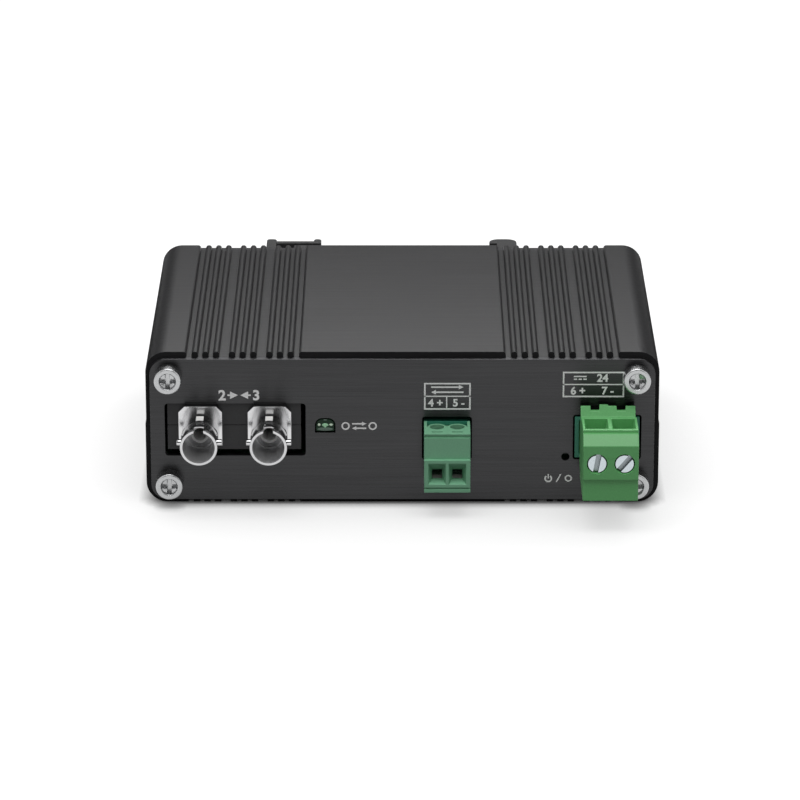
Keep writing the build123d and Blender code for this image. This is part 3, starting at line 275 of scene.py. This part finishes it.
# Brushed face: scratches 0.15 mm apart and about 20 mm long draw every reflection out upright
brushed = finish(
    "black anodised aluminium, brushed",
    ("#3a3a3b", "#444445"),
    (20, 0.15, 0.15),
    (0.25, 0.31),
    {"Metallic": 1.0, "Anisotropic": 0.8, "Anisotropic Rotation": 0.25},
)
# Milled edge: it mirrors what stands by it; cutter marks 0.1 mm apart, drawn at 0.25 mm to show
milled = finish(
    "black anodised aluminium, milled edge",
    ("#464648", "#4e4e50"),
    (0.25, 2, 0.25),
    (0.35, 0.45),
    {"Metallic": 1.0},
)
for panel in ("front_panel", "rear_panel"):
    dress(panel, PANEL_EDGE, brushed, milled, choose=lambda face: int(not end_face(face)))

# Marks: pale ink, screen-printed on the front panel in one layer over the anodising.
# Plain numbers, signs and arrows name the ports, the lamps and the plugs that they stand by.
# Their sizes and places are in mm.
INK_THICKNESS = 0.02
STROKE = 0.30
ARC_STEPS = 24
FULL_TURN = 360
# A figure's outline is thickened by this share of its size
LETTER_WEIGHT = 0.032
INK_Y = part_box("front_panel")[0].y - INK_THICKNESS * MM


def above(node):
    """X of a node's middle and Z of its top, in mm."""
    low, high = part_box(node)
    return (low.x + high.x) / 2 / MM, high.z / MM


def outline(mesh, points):
    """One flat inked shape; points are its corners' X and Z in turn."""
    mesh.faces.new([mesh.verts.new((x * MM, INK_Y, z * MM)) for x, z in points])


def bar(mesh, left, bottom, right, top):
    """An inked rectangle."""
    outline(mesh, [(left, bottom), (right, bottom), (right, top), (left, top)])


def border(mesh, left, bottom, right, top):
    """An inked rectangular frame, one stroke wide."""
    bar(mesh, left, bottom, right, bottom + STROKE)
    bar(mesh, left, top - STROKE, right, top)
    bar(mesh, left, bottom + STROKE, left + STROKE, top - STROKE)
    bar(mesh, right - STROKE, bottom + STROKE, right, top - STROKE)


def arrow(mesh, tail, tip, level, size):
    """A level arrow from tail to tip, size high at its head."""
    neck = tip - math.copysign(size, tip - tail)
    half = STROKE / 2
    lower = [(tail, level - half), (neck, level - half), (neck, level - size / 2)]
    upper = [(neck, level + size / 2), (neck, level + half), (tail, level + half)]
    outline(mesh, [*lower, (tip, level), *upper])


def arc(mesh, centre_x, centre_z, radius, start=0, sweep=FULL_TURN):
    """An inked ring, or part of one, anticlockwise from start: one stroke spun about its centre."""
    centre = Vector((centre_x * MM, INK_Y, centre_z * MM))
    ray = Vector((math.cos(math.radians(start)), 0, math.sin(math.radians(start))))
    ends = [mesh.verts.new(centre + ray * reach * MM) for reach in (radius - STROKE, radius)]
    bmesh.ops.spin(
        mesh,
        geom=[*ends, mesh.edges.new(ends)],
        cent=centre,
        axis=(0, -1, 0),
        angle=math.radians(sweep),
        steps=ARC_STEPS,
        use_merge=sweep == FULL_TURN,
    )


def letters(mesh, words, centre_x, centre_z, height):
    """Inked figures, scaled to their height and centred."""
    curve = bpy.data.curves.new("letters", "FONT")
    curve.body = words
    curve.offset = LETTER_WEIGHT
    holder = bpy.data.objects.new("letters", curve)
    flat = bpy.data.meshes.new_from_object(holder)
    low_x, high_x = (pick(v.co.x for v in flat.vertices) for pick in (min, max))
    low_y, high_y = (pick(v.co.y for v in flat.vertices) for pick in (min, max))
    scale = height * MM / (high_y - low_y)
    centred = Matrix.Translation((-(low_x + high_x) / 2, -(low_y + high_y) / 2, 0))
    place = Matrix.Translation((centre_x * MM, INK_Y, centre_z * MM))
    upright = Matrix.Rotation(math.pi / 2, 4, "X")
    flat.transform(place @ upright @ Matrix.Scale(scale, 4) @ centred)
    mesh.from_mesh(flat)
    bpy.data.objects.remove(holder)
    bpy.data.meshes.remove(flat)


# Ink: even, pale and half matt, broken up only by the 0.3 mm weave of the screen
ink = finish("pale grey ink, screen-printed", ("#f2f2f2", "#fafafa"), (0.3, 0.3, 0.3), (0.4, 0.5))
marks = bmesh.new()
# Over the fibre ports: 2 sends, 3 receives
x, top = above("transmit_port")
x = (x + above("receive_port")[0]) / 2 + 0.8
letters(marks, "2", x - 3.2, top + 1.7, 2.1)
arrow(marks, x - 2.2, x - 0.2, top + 1.7, 1.5)
arrow(marks, x + 2.2, x + 0.2, top + 1.7, 1.5)
letters(marks, "3", x + 3.2, top + 1.7, 2.1)
# Beside the link lamp: two ends and a line between them
x, top = above("link_led")
arc(marks, x + 3.85, top - 1.35, 0.8)
arrow(marks, x + 5.05, x + 7.75, top - 0.9, 0.8)
arrow(marks, x + 7.75, x + 5.05, top - 1.8, 0.8)
arc(marks, x + 8.95, top - 1.35, 0.8)
# Over the data plug: a frame with arrows both ways, and its two poles
x, top = above("data_header")
border(marks, x - 4.34, top + 2.41, x + 4.45, top + 7.75)
bar(marks, x - 4.34, top + 4.97, x + 4.45, top + 5.2)
bar(marks, x - 0.18, top + 2.65, x + 0.04, top + 4.97)
arrow(marks, x - 3.0, x + 3.1, top + 6.9, 0.9)
arrow(marks, x + 3.1, x - 3.0, top + 5.9, 0.9)
letters(marks, "4 +", x - 2.2, top + 3.8, 1.55)
letters(marks, "5 -", x + 2.2, top + 3.8, 1.55)
# Over the power plug: a frame with the sign for direct current, and its two poles
x, top = above("power_header")
border(marks, x - 8.48, top + 3.95, x + 3.09, top + 9.02)
bar(marks, x - 8.48, top + 6.37, x + 3.09, top + 6.6)
bar(marks, x - 6.4, top + 7.95, x - 4.0, top + 8.2)
for dash in range(3):
    left = x - 6.4 + 0.89 * dash
    bar(marks, left, top + 7.4, left + 0.62, top + 7.65)
letters(marks, "24", x - 1.0, top + 7.8, 1.6)
letters(marks, "6 +", x - 5.6, top + 5.25, 1.6)
letters(marks, "7 -", x, top + 5.25, 1.6)
# Under the power lamp: the sign for on, a stroke and a ring
x, top = above("power_led")
arc(marks, x - 3.2, top - 5.6, 0.75, 125, 290)
bar(marks, x - 3.32, top - 5.6, x - 3.08, top - 4.7)
outline(marks, [(x - 1.8, top - 6.3), (x - 1.5, top - 6.3), (x - 0.7, top - 4.7), (x - 1.0, top - 4.7)])
arc(marks, x + 0.6, top - 5.55, 0.7)
# Every inked shape faces the front
marks.normal_update()
bmesh.ops.reverse_faces(marks, faces=[face for face in marks.faces if face.normal.y > 0])
show(marks, "panel_marks", (ink,), "front_panel")

# Panel screws: turned steel with tall dished heads, zinc plated bright.
# Each threads into a corner channel of the shells.
SCREW_EDGE = 0.1 * MM
# Bright zinc: clear grey highlights; the plating's 0.08 mm grain is drawn at 0.25 mm to show
plated = finish(
    "bright zinc plate on turned steel",
    ("#b0b1b2", "#bdbebf"),
    (0.25, 0.25, 0.25),
    (0.24, 0.32),
    {"Metallic": 1.0},
)
dress("front_panel_screws", SCREW_EDGE, plated)
dress("rear_panel_screws", SCREW_EDGE, plated)

# Fibre transceiver: a black moulded base and cover that meet on a thin parting line.
# Solder pins carry it on the board.
TRANSCEIVER_EDGE = 0.1 * MM
# Black plastic: a dull sheen; the mould's 0.05 mm spark texture is drawn at 0.25 mm to show
moulded_black = finish(
    "black plastic, moulded with a spark texture",
    ("#303031", "#383839"),
    (0.25, 0.25, 0.25),
    (0.42, 0.55),
    {"Specular IOR Level": 0.3},
)
dress("transceiver_base", TRANSCEIVER_EDGE, moulded_black)
dress("transceiver_cover", TRANSCEIVER_EDGE, moulded_black)

# Bayonet ports: zinc barrels, die-cast on their flanges, turned, and plated with nickel.
# The plating is bright on the barrel, satin on the flange and thin in the bore, which stays dull.
# A key, 0.06 mm proud, is set into the top of each barrel; its white is a painted highlight.
BARREL = 3.5 * MM
BORE = 3.0 * MM
PORT_EDGE = 0.08 * MM
KEY = Vector((1.4, 2.2, 0.6)) * MM
KEY_FRONT = 5.5 * MM
KEY_PROUD = 0.06 * MM
KEY_EDGE = 0.05 * MM
# Bright nickel: a clear mirror; the casting under it clouds the gloss over about 2 mm
nickel = finish(
    "bright nickel plate on die-cast zinc",
    ("#c0c0c1", "#c5c5c6"),
    (2, 2, 2),
    (0.11, 0.14),
    {"Metallic": 1.0},
)
# Bore: turning marks 0.3 mm apart scatter the light, so it looks grey and even
bare_bore = finish(
    "zinc bore, unplated",
    ("#c3c3c4", "#cfcfd0"),
    (0.3, 2, 0.3),
    (0.5, 0.6),
    {"Metallic": 1.0},
)
# Satin nickel: the 0.2 mm grain of the casting under it blurs its reflections
satin_nickel = finish(
    "satin nickel plate on die-cast zinc",
    ("#cccccd", "#d4d4d5"),
    (0.2, 0.2, 0.2),
    (0.15, 0.19),
    {"Metallic": 1.0},
)
# Key: a plain white with a soft gloss, a painted highlight on the barrel's top; its moulded grain is drawn
# at 0.25 mm to show
key_painted_highlight = finish("key, painted white as a highlight", ("#e2e2e0", "#ecebe9"), (0.25, 0.25, 0.25), (0.3, 0.4))


def port_finish(face, axis):
    """Which finish a port's face has: 1 in the bore, 2 on the flange's front, 0 elsewhere."""
    near_bore = BORE + 0.05 * MM
    past_barrel = BARREL + 0.5 * MM
    centre = face.calc_center_median()
    out = Vector((centre.x - axis.x, 0, centre.z - axis.z))
    faces_axis = face.normal.dot(out) < -0.5 * out.length
    if out.length < near_bore and faces_axis:
        return 1
    reach = max(math.hypot(v.co.x - axis.x, v.co.z - axis.z) for v in face.verts)
    return 2 if face.normal.y < -SQUARE_ON and reach > past_barrel else 0


for port, sleeve in (("transmit_port", "transmit_sleeve"), ("receive_port", "receive_sleeve")):
    low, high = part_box(sleeve)
    axis = (low + high) / 2
    barrel = joined_copy(port)
    for face in barrel.faces:
        face.material_index = port_finish(face, axis)
    outer = [edge for edge in barrel.edges if is_sharp(edge) and edge.is_convex]
    round_edges(barrel, PORT_EDGE, outer)
    # The key's white tone is a painted highlight on the barrel's top
    key_middle = axis + Vector((0, 0, BARREL + KEY_PROUD - KEY.z / 2))
    key_middle.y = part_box(port)[0].y + KEY_FRONT + KEY.y / 2
    key_place = Matrix.Translation(key_middle) @ Matrix.Diagonal((*KEY, 1))
    key = bmesh.ops.create_cube(barrel, size=1.0, matrix=key_place)["verts"]
    for vert in key:
        for face in vert.link_faces:
            face.material_index = 3
    key_edges = dict.fromkeys(edge for vert in key for edge in vert.link_edges)
    round_edges(barrel, KEY_EDGE, list(key_edges))
    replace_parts(show(barrel, port + "_finish", (nickel, bare_bore, satin_nickel, key_painted_highlight), port), port)

# Ferrule sleeves: fired zirconia tubes, ground in the bore, pressed in behind the ports.
# Deep in the barrel only their pale front rings show.
SLEEVE_EDGE = 0.05 * MM
# Zirconia: dense white with a clear gloss; its 0.2 mm grain hardly shows
zirconia = finish("zirconia, fired and ground", ("#e4e4e2", "#eeeeec"), (0.2, 0.2, 0.2), (0.12, 0.2))
dress("transmit_sleeve", SLEEVE_EDGE, zirconia)
dress("receive_sleeve", SLEEVE_EDGE, zirconia)

# Lamps: a green acrylic lens, moulded and polished, on a black holder, and a bare lamp behind its hole.
# Both are soldered to the board; the cup, the dies and the lead frame are painted on the lens's face as flat
# discs, the dies and one disc at the top as painted glints.
LENS_EDGE = 0.2 * MM
BEAD_BULGE = 0.04 * MM


def coat(node, material):
    """Gives its material to a CAD node that keeps its shape."""
    skins = frame["nodes"][node].data.materials
    skins.clear()
    skins.append(material)


# Lens: a deep green with a hard gloss, clouded over about 0.8 mm
lens = finish(
    "green acrylic lens, polished",
    ("#14301f", "#1c4029"),
    (0.8, 0.8, 0.5),
    (0.06, 0.12),
    {"Specular IOR Level": 0.15},
)
dress("link_led", LENS_EDGE, lens)
lamp_low, lamp_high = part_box("link_led")
lamp_x = (lamp_low.x + lamp_high.x) / 2
# Painted on the lens: the cup pale green, the dies nearly white as painted glints, the frame a dull green
painted_glint_tones = (
    finish("lamp cup under the lens", ("#a4e0b0", "#b4ecc0"), (0.2, 0.2, 0.2), (0.1, 0.2)),
    finish("lamp dies under the lens", ("#e4ffe8", "#eefce0"), (0.25, 0.25, 0.25), (0.1, 0.2)),
    finish("lamp frame under the lens", ("#50685a", "#5a7264"), (0.4, 0.4, 0.2), (0.15, 0.25)),
)
painted_glints = bmesh.new()
# In mm: how far right of the lens's middle and above its foot, half width and half height; then the tone
for offset, level, wide, tall, tone in (
    (0.0, 1.28, 0.62, 0.34, 0),
    (0.0, 1.05, 0.22, 0.34, 0),
    (-1.15, 1.33, 0.26, 0.26, 1),
    (1.1, 1.33, 0.34, 0.23, 1),
    (0.0, 0.45, 1.5, 0.34, 2),
    (0.0, 2.3, 0.4, 0.16, 2),
):
    spot = Matrix.Translation((lamp_x + offset * MM, lamp_low.y, lamp_low.z + level * MM))
    size = Matrix.Diagonal((wide * MM, BEAD_BULGE, tall * MM, 1))
    made = bmesh.ops.create_uvsphere(painted_glints, u_segments=24, v_segments=8, radius=1.0, matrix=spot @ size)
    for vert in made["verts"]:
        for face in vert.link_faces:
            face.material_index = tone
show(painted_glints, "link_lamp_painted_glints", painted_glint_tones, "link_led")
coat("link_led_holder", moulded_black)
coat("power_led", lens)

# Headers: open boxes of teal plastic, moulded, soldered to the board by bent square pins.
# Only their rims show round the plugs.
HEADER_EDGE = 0.06 * MM
# Teal plastic: a soft sheen, with flow marks about 0.6 mm across
header_green = finish("teal plastic, moulded", ("#2c7660", "#348069"), (0.6, 0.6, 0.6), (0.35, 0.45))
dress("data_header", HEADER_EDGE, header_green)
dress("power_header", HEADER_EDGE, header_green)

# Data plug: a block moulded of grey-green plastic, pushed into its header from the front.
# Steel screws lift brass clamps in its two chambers, and a ramp on each clamp leads the wire in.
DATA_EDGE = 0.07 * MM
TERMINAL_EDGE = 0.06 * MM
RAMP = Vector((1.85, 1.6, 0.35)) * MM
RAMP_REACH = 0.5 * MM
RAMP_LEVEL = 0.78 * MM
RAMP_TILT = math.radians(11)
RAMP_EDGE = 0.05 * MM
# Grey-green plastic: a soft even sheen; its 0.05 mm spark texture is drawn at 0.25 mm to show
data_green = finish("grey-green plastic, moulded", ("#6ea684", "#75ae8b"), (0.25, 0.25, 0.25), (0.38, 0.48))
dress("data_plug", DATA_EDGE, data_green)
# Zinc plate: a bluish metal with soft highlights; its 0.06 mm grain is drawn at 0.25 mm to show
slotted = finish(
    "zinc plate on slotted steel",
    ("#bac3c7", "#c9d2d7"),
    (0.25, 0.25, 0.25),
    (0.25, 0.35),
    {"Metallic": 1.0},
)
# Tin plate: a whitish metal with soft highlights; its 0.1 mm grain is drawn at 0.25 mm to show
clamp_metal = finish(
    "tin plate on folded brass",
    ("#b5b6b6", "#c5c6c6"),
    (0.25, 0.25, 0.25),
    (0.25, 0.35),
    {"Metallic": 1.0},
)
# Sheared tin, made a pale non-metal so it looks pale from every side: a painted glint for the clamps' bright
# edges; its 0.1 mm grain is drawn at 0.25 mm to show
tin_painted_pale = finish("tin plate, sheared edge", ("#cac8c4", "#d6d4d0"), (0.25, 0.25, 0.25), (0.5, 0.6))
for side in ("left", "right"):
    clamp = "data_clamp_" + side
    dress("data_screw_" + side, TERMINAL_EDGE, slotted)
    dress(clamp, TERMINAL_EDGE, clamp_metal)
    low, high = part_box(clamp)
    middle = Vector(((low.x + high.x) / 2, low.y - RAMP_REACH, low.z + RAMP_LEVEL))
    tilted = Matrix.Translation(middle) @ Matrix.Rotation(RAMP_TILT, 4, "X") @ Matrix.Diagonal((*RAMP, 1))
    ramp = bmesh.new()
    bmesh.ops.create_cube(ramp, size=1.0, matrix=tilted)
    round_edges(ramp, RAMP_EDGE)
    show(ramp, "data_clamp_ramp_" + side, (tin_painted_pale,), clamp)

# Power plug: a larger block of leaf-green plastic, moulded, wires from above and screws in front.
# Its screws draw their clamps forward; the toothed rib on top leans back for draft.
POWER_EDGE = 0.12 * MM
RIB_LEAN = 0.62
RIB_ABOVE = 18.7 * MM
SLOT_TOP = 0.1 * MM
SLOT_FLOOR = 0.85 * MM
ROUND_CORNERS = 12
# Leaf-green plastic: a soft even sheen; its 0.05 mm spark texture is drawn at 0.25 mm to show
power_green = finish("leaf-green plastic, moulded", ("#58a35f", "#60ab67"), (0.25, 0.25, 0.25), (0.38, 0.48))
plug = joined_copy("power_plug")
rib_faces = [f for f in plug.faces if f.normal.y < -SQUARE_ON and f.calc_center_median().z > RIB_ABOVE]
rib_front = max(rib_faces, key=lambda face: face.calc_area())
rib_foot = min(vert.co.z for vert in rib_front.verts)
for vert in rib_front.verts:
    vert.co.y += RIB_LEAN * (vert.co.z - rib_foot)
round_edges(plug, POWER_EDGE)
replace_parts(show(plug, "power_plug_finish", (power_green,), "power_plug"), "power_plug")
# Sawn slot: saw marks 0.12 mm apart, and a grey painted darker than the bright head as shade in the slot
slot_painted_shade = finish(
    "zinc plate in a sawn slot",
    ("#7e8689", "#afb7ba"),
    (0.12, 0.5, 0.12),
    (0.4, 0.5),
    {"Metallic": 1.0},
)


def in_slot(face, head_front):
    """1 for a face in a screw head's slot, 0 for any other; a round face has too many corners."""
    deep = head_front + SLOT_TOP < face.calc_center_median().y < head_front + SLOT_FLOOR
    return int(deep and len(face.verts) < ROUND_CORNERS)


for side in ("left", "right"):
    screw = "power_screw_" + side
    head_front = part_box(screw)[0].y
    # Slot faces take the grey painted darker as shade
    dress(screw, TERMINAL_EDGE, slotted, slot_painted_shade, choose=lambda face: in_slot(face, head_front))
    dress("power_clamp_" + side, TERMINAL_EDGE, clamp_metal)

# Rail clip: a bracket and a sprung latch, moulded of black glass-filled plastic.
# Two countersunk screws hold the bracket to the rear panel.
# The spring stands against a post of the bracket and is pressed shorter as the latch slides; its mesh is
# copied and keeps its CAD shape.
CLIP_EDGE = 0.15 * MM
EAR_ROUND = 0.7 * MM
EAR_SEGMENTS = 4
CLIP_SCREW_EDGE = 0.08 * MM
# Glass-filled plastic: the glass leaves a dull skin with flecks 0.4 mm across
clip_plastic = finish(
    "black glass-filled plastic, moulded",
    ("#262627", "#303031"),
    (0.4, 0.4, 0.4),
    (0.5, 0.65),
    {"Specular IOR Level": 0.35},
)
dress("rail_bracket", CLIP_EDGE, clip_plastic)
latch_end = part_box("rail_latch")[1].y


def ear_edge(edge):
    """Whether an edge stands upright at the rear end of a latch ear."""
    start, stop = (vert.co for vert in edge.verts)
    return min(start.y, stop.y) > latch_end - TOUCH and abs(start.z - stop.z) > LONG_EDGE


latch = joined_copy("rail_latch")
round_edges(latch, EAR_ROUND, [edge for edge in latch.edges if ear_edge(edge)], EAR_SEGMENTS)
round_edges(latch, CLIP_EDGE)
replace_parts(show(latch, "rail_latch_finish", (clip_plastic,), "rail_latch"), "rail_latch")
# Black zinc: a dark metal with soft highlights; its 0.08 mm grain is drawn at 0.25 mm to show
black_steel = finish(
    "black zinc plate on steel",
    ("#2a2a2b", "#343435"),
    (0.25, 0.25, 0.25),
    (0.3, 0.4),
    {"Metallic": 1.0},
)
dress("rail_bracket_screws", CLIP_SCREW_EDGE, black_steel)
# Drawn wire: a bright grey metal; the die's 0.05 mm marks are made 0.25 mm wide to show
drawn_wire = finish(
    "spring steel, drawn",
    ("#a0a0a2", "#b0b0b2"),
    (0.25, 0.25, 0.25),
    (0.25, 0.35),
    {"Metallic": 1.0},
)
low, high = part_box("rail_latch_spring")
coil = joined_copy("rail_latch_spring")
spring = show(coil, "rail_latch_spring_finish", (drawn_wire,), "rail_latch_spring")
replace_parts(spring, "rail_latch_spring")
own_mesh(spring)

# Board: glass laminate under green solder mask, with parts soldered on it; all inside the case.
# They keep their CAD shapes, since nothing shows them.

# Solder mask: a glossy green film that follows the 0.6 mm weave of the glass
solder_mask = finish("solder mask on glass laminate", ("#1f5a35", "#24643c"), (0.6, 0.6, 0.6), (0.3, 0.4))
# Epoxy: a flat charcoal; its moulded grain is drawn at 0.25 mm to show
package = finish("black epoxy, moulded", ("#262626", "#2e2e2e"), (0.25, 0.25, 0.25), (0.5, 0.6))
# Film: a dark blue gloss, with 4 mm streaks where it shrank
sleeve_film = finish("heat-shrunk film", ("#22283a", "#283046"), (0.5, 0.5, 4), (0.25, 0.35))
# Tinned brass: a whitish metal with soft highlights; its 0.1 mm grain is drawn at 0.25 mm to show
tinned = finish(
    "tin plate on brass",
    ("#c0c0bd", "#cfcfcc"),
    (0.25, 0.25, 0.25),
    (0.25, 0.35),
    {"Metallic": 1.0},
)
for material, nodes in (
    (solder_mask, ("circuit_board",)),
    (package, ("dc_converter", "controller_chip", "line_driver_chip")),
    (sleeve_film, ("input_capacitor",)),
    (tinned, ("data_header_pins", "power_header_pins", "transceiver_pins")),
    (tinned, ("data_plug_contacts", "power_plug_contacts")),
):
    for node in nodes:
        coat(node, material)

# Studio: a white floor under an even sky that is brightest overhead, with two soft boxes.
# Eye and reflections see floor and sky as white; dark flags, seen by reflections alone, draw the edges.
CONTACT = 3 * MM
SURROUND = 60 * MM
SHADE_SAMPLES = 8
FLOOR_DROP = 0.02 * MM
AIM = Vector((0, 0, 0.02))


def seen_rays(tree):
    """1 for the rays that see the background: camera, glossy and transmission rays."""
    rays = add(tree, "ShaderNodeLightPath")
    eye = {0: rays.outputs["Is Camera Ray"], 1: rays.outputs["Is Glossy Ray"]}
    eye_or_gloss = add(tree, "ShaderNodeMath", None, eye, operation="MAXIMUM")
    through = {0: eye_or_gloss.outputs[0], 1: rays.outputs["Is Transmission Ray"]}
    return add(tree, "ShaderNodeMath", None, through, operation="MAXIMUM").outputs[0]


world = bpy.data.worlds.new("studio")
bpy.context.scene.world = world
world.use_nodes = True
tree = world.node_tree
tree.nodes.clear()
direction = add(tree, "ShaderNodeTexCoord")
height = add(tree, "ShaderNodeSeparateXYZ", None, {0: direction.outputs["Generated"]})
sky = add(tree, "ShaderNodeMapRange", {"To Min": 0.10, "To Max": 0.62}, {"Value": height.outputs["Z"]})
level = add(tree, "ShaderNodeMix", {"B": 1.0}, {"Factor": seen_rays(tree), "A": sky.outputs[0]})
dome = add(tree, "ShaderNodeBackground", {"Color": (1, 1, 1, 1)}, {"Strength": level.outputs[0]})
add(tree, "ShaderNodeOutputWorld", None, {"Surface": dome.outputs[0]})

# Floor: matt paint that the lamps shade, lifted to white for the eye but less so round the object, where
# painted shadow from occlusion darkens its paint and its lift
floor_white = empty_material("white studio floor")
tree = floor_white.node_tree
seen = seen_rays(tree)
shade = add(
    tree,
    "ShaderNodeMix",
    {"A": linear("#626262"), "B": linear("#7c7c7c")},
    {"Factor": seen},
    data_type="RGBA",
)
# Painted shadow: occlusion darkens the paint within 3 mm of the object and the lift within 60 mm
painted_contact_shade = add(
    tree,
    "ShaderNodeAmbientOcclusion",
    {"Distance": CONTACT},
    {"Color": shade.outputs["Result"]},
    samples=SHADE_SAMPLES,
)
paint = add(tree, "ShaderNodeBsdfDiffuse", None, {"Color": painted_contact_shade.outputs["Color"]})
painted_wide_shade = add(tree, "ShaderNodeAmbientOcclusion", {"Distance": SURROUND}, samples=SHADE_SAMPLES)
lift = add(tree, "ShaderNodeMapRange", {"To Min": 0.50, "To Max": 0.90}, {"Value": painted_wide_shade.outputs["AO"]})
for share in (painted_contact_shade.outputs["AO"], seen):
    lift = add(tree, "ShaderNodeMath", None, {0: lift.outputs[0], 1: share}, operation="MULTIPLY")
glow = add(tree, "ShaderNodeEmission", {"Color": (1, 1, 1, 1)}, {"Strength": lift.outputs[0]})
both = add(tree, "ShaderNodeAddShader", None, {0: paint.outputs[0], 1: glow.outputs[0]})
add(tree, "ShaderNodeOutputMaterial", None, {"Surface": both.outputs[0]})

# Flag cloth: an even dark grey from every side
flag_cloth = empty_material("dark flag cloth")
tree = flag_cloth.node_tree
cloth = add(tree, "ShaderNodeEmission", {"Color": linear("#1c1c1c")})
add(tree, "ShaderNodeOutputMaterial", None, {"Surface": cloth.outputs[0]})


def card(name, place, size, material, only_reflected):
    """A flat stage card; place moves it from the XY plane."""
    mesh = bmesh.new()
    sized = place @ Matrix.Diagonal((*size, 1, 1))
    bmesh.ops.create_grid(mesh, x_segments=1, y_segments=1, size=0.5, matrix=sized)
    data = bpy.data.meshes.new(name)
    mesh.to_mesh(data)
    mesh.free()
    data.materials.append(material)
    stage = bpy.data.objects.new(name, data)
    bpy.context.scene.collection.objects.link(stage)
    if only_reflected:
        stage.visible_camera = False
        stage.visible_diffuse = False
        stage.visible_transmission = False
        stage.visible_shadow = False
    stage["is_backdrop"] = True


card("floor", Matrix.Translation((0, 0, -FLOOR_DROP)), (8, 8), floor_white, False)
# Flags in metres: an upright one and a strip of the floor on each side, then ahead, overhead and behind
for side in (-1, 1):
    upright = Matrix.Translation((side * 0.15, 0.42, 0.2)) @ Matrix.Rotation(math.pi / 2, 4, "Y")
    card(f"flag_{side}", upright, (0.4, 0.8), flag_cloth, True)
    beside = Matrix.Translation((side * 0.105, 0.13, 0.1 * MM))
    card(f"flag_floor_{side}", beside, (0.1, 0.18), flag_cloth, True)
ahead = Matrix.Translation((0, -0.7, 0.4)) @ Matrix.Rotation(math.pi / 2, 4, "X")
card("flag_front", ahead, (0.95, 0.7), flag_cloth, True)
card("flag_top", Matrix.Translation((0, -0.1, 0.62)), (0.7, 0.7), flag_cloth, True)
low_back = Matrix.Translation((0, 0.13, 0.065)) @ Matrix.Rotation(math.pi / 2, 4, "X")
card("flag_back", low_back, (0.4, 0.05), flag_cloth, True)

# Soft boxes: place and size in metres, then watts
for name, spot, size, watts in (
    ("front box", (0, -0.17, 0.46), (0.40, 0.20), 1.35),
    ("back box", (0, 0.24, 0.30), (0.40, 0.14), 0.75),
):
    lamp = bpy.data.lights.new(name, "AREA")
    lamp.shape = "RECTANGLE"
    lamp.size, lamp.size_y = size
    lamp.energy = watts
    holder = bpy.data.objects.new(name, lamp)
    holder.location = spot
    holder.rotation_euler = (AIM - Vector(spot)).to_track_quat("-Z", "Y").to_euler()
    bpy.context.scene.collection.objects.link(holder)

# Camera: a long lens well in front of the object, level from side to side and looking down at it.
# Its place and tilt follow from the slant of the case's edges.
FOCAL_LENGTH = 200.09
CAMERA_PLACE = Vector((-0.45, -823.94, 298.19)) * MM
CAMERA_DIP = math.radians(19.3626)
camera_data = bpy.data.cameras.new("camera")
camera_data.lens = FOCAL_LENGTH
camera = bpy.data.objects.new("camera", camera_data)
camera.location = CAMERA_PLACE
camera.rotation_euler = (math.pi / 2 - CAMERA_DIP, 0, 0)
bpy.context.scene.collection.objects.link(camera)
bpy.context.scene.camera = camera
bpy.context.scene.view_settings.view_transform = "Standard"

# The finished object's box, without the stage cards
low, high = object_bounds()
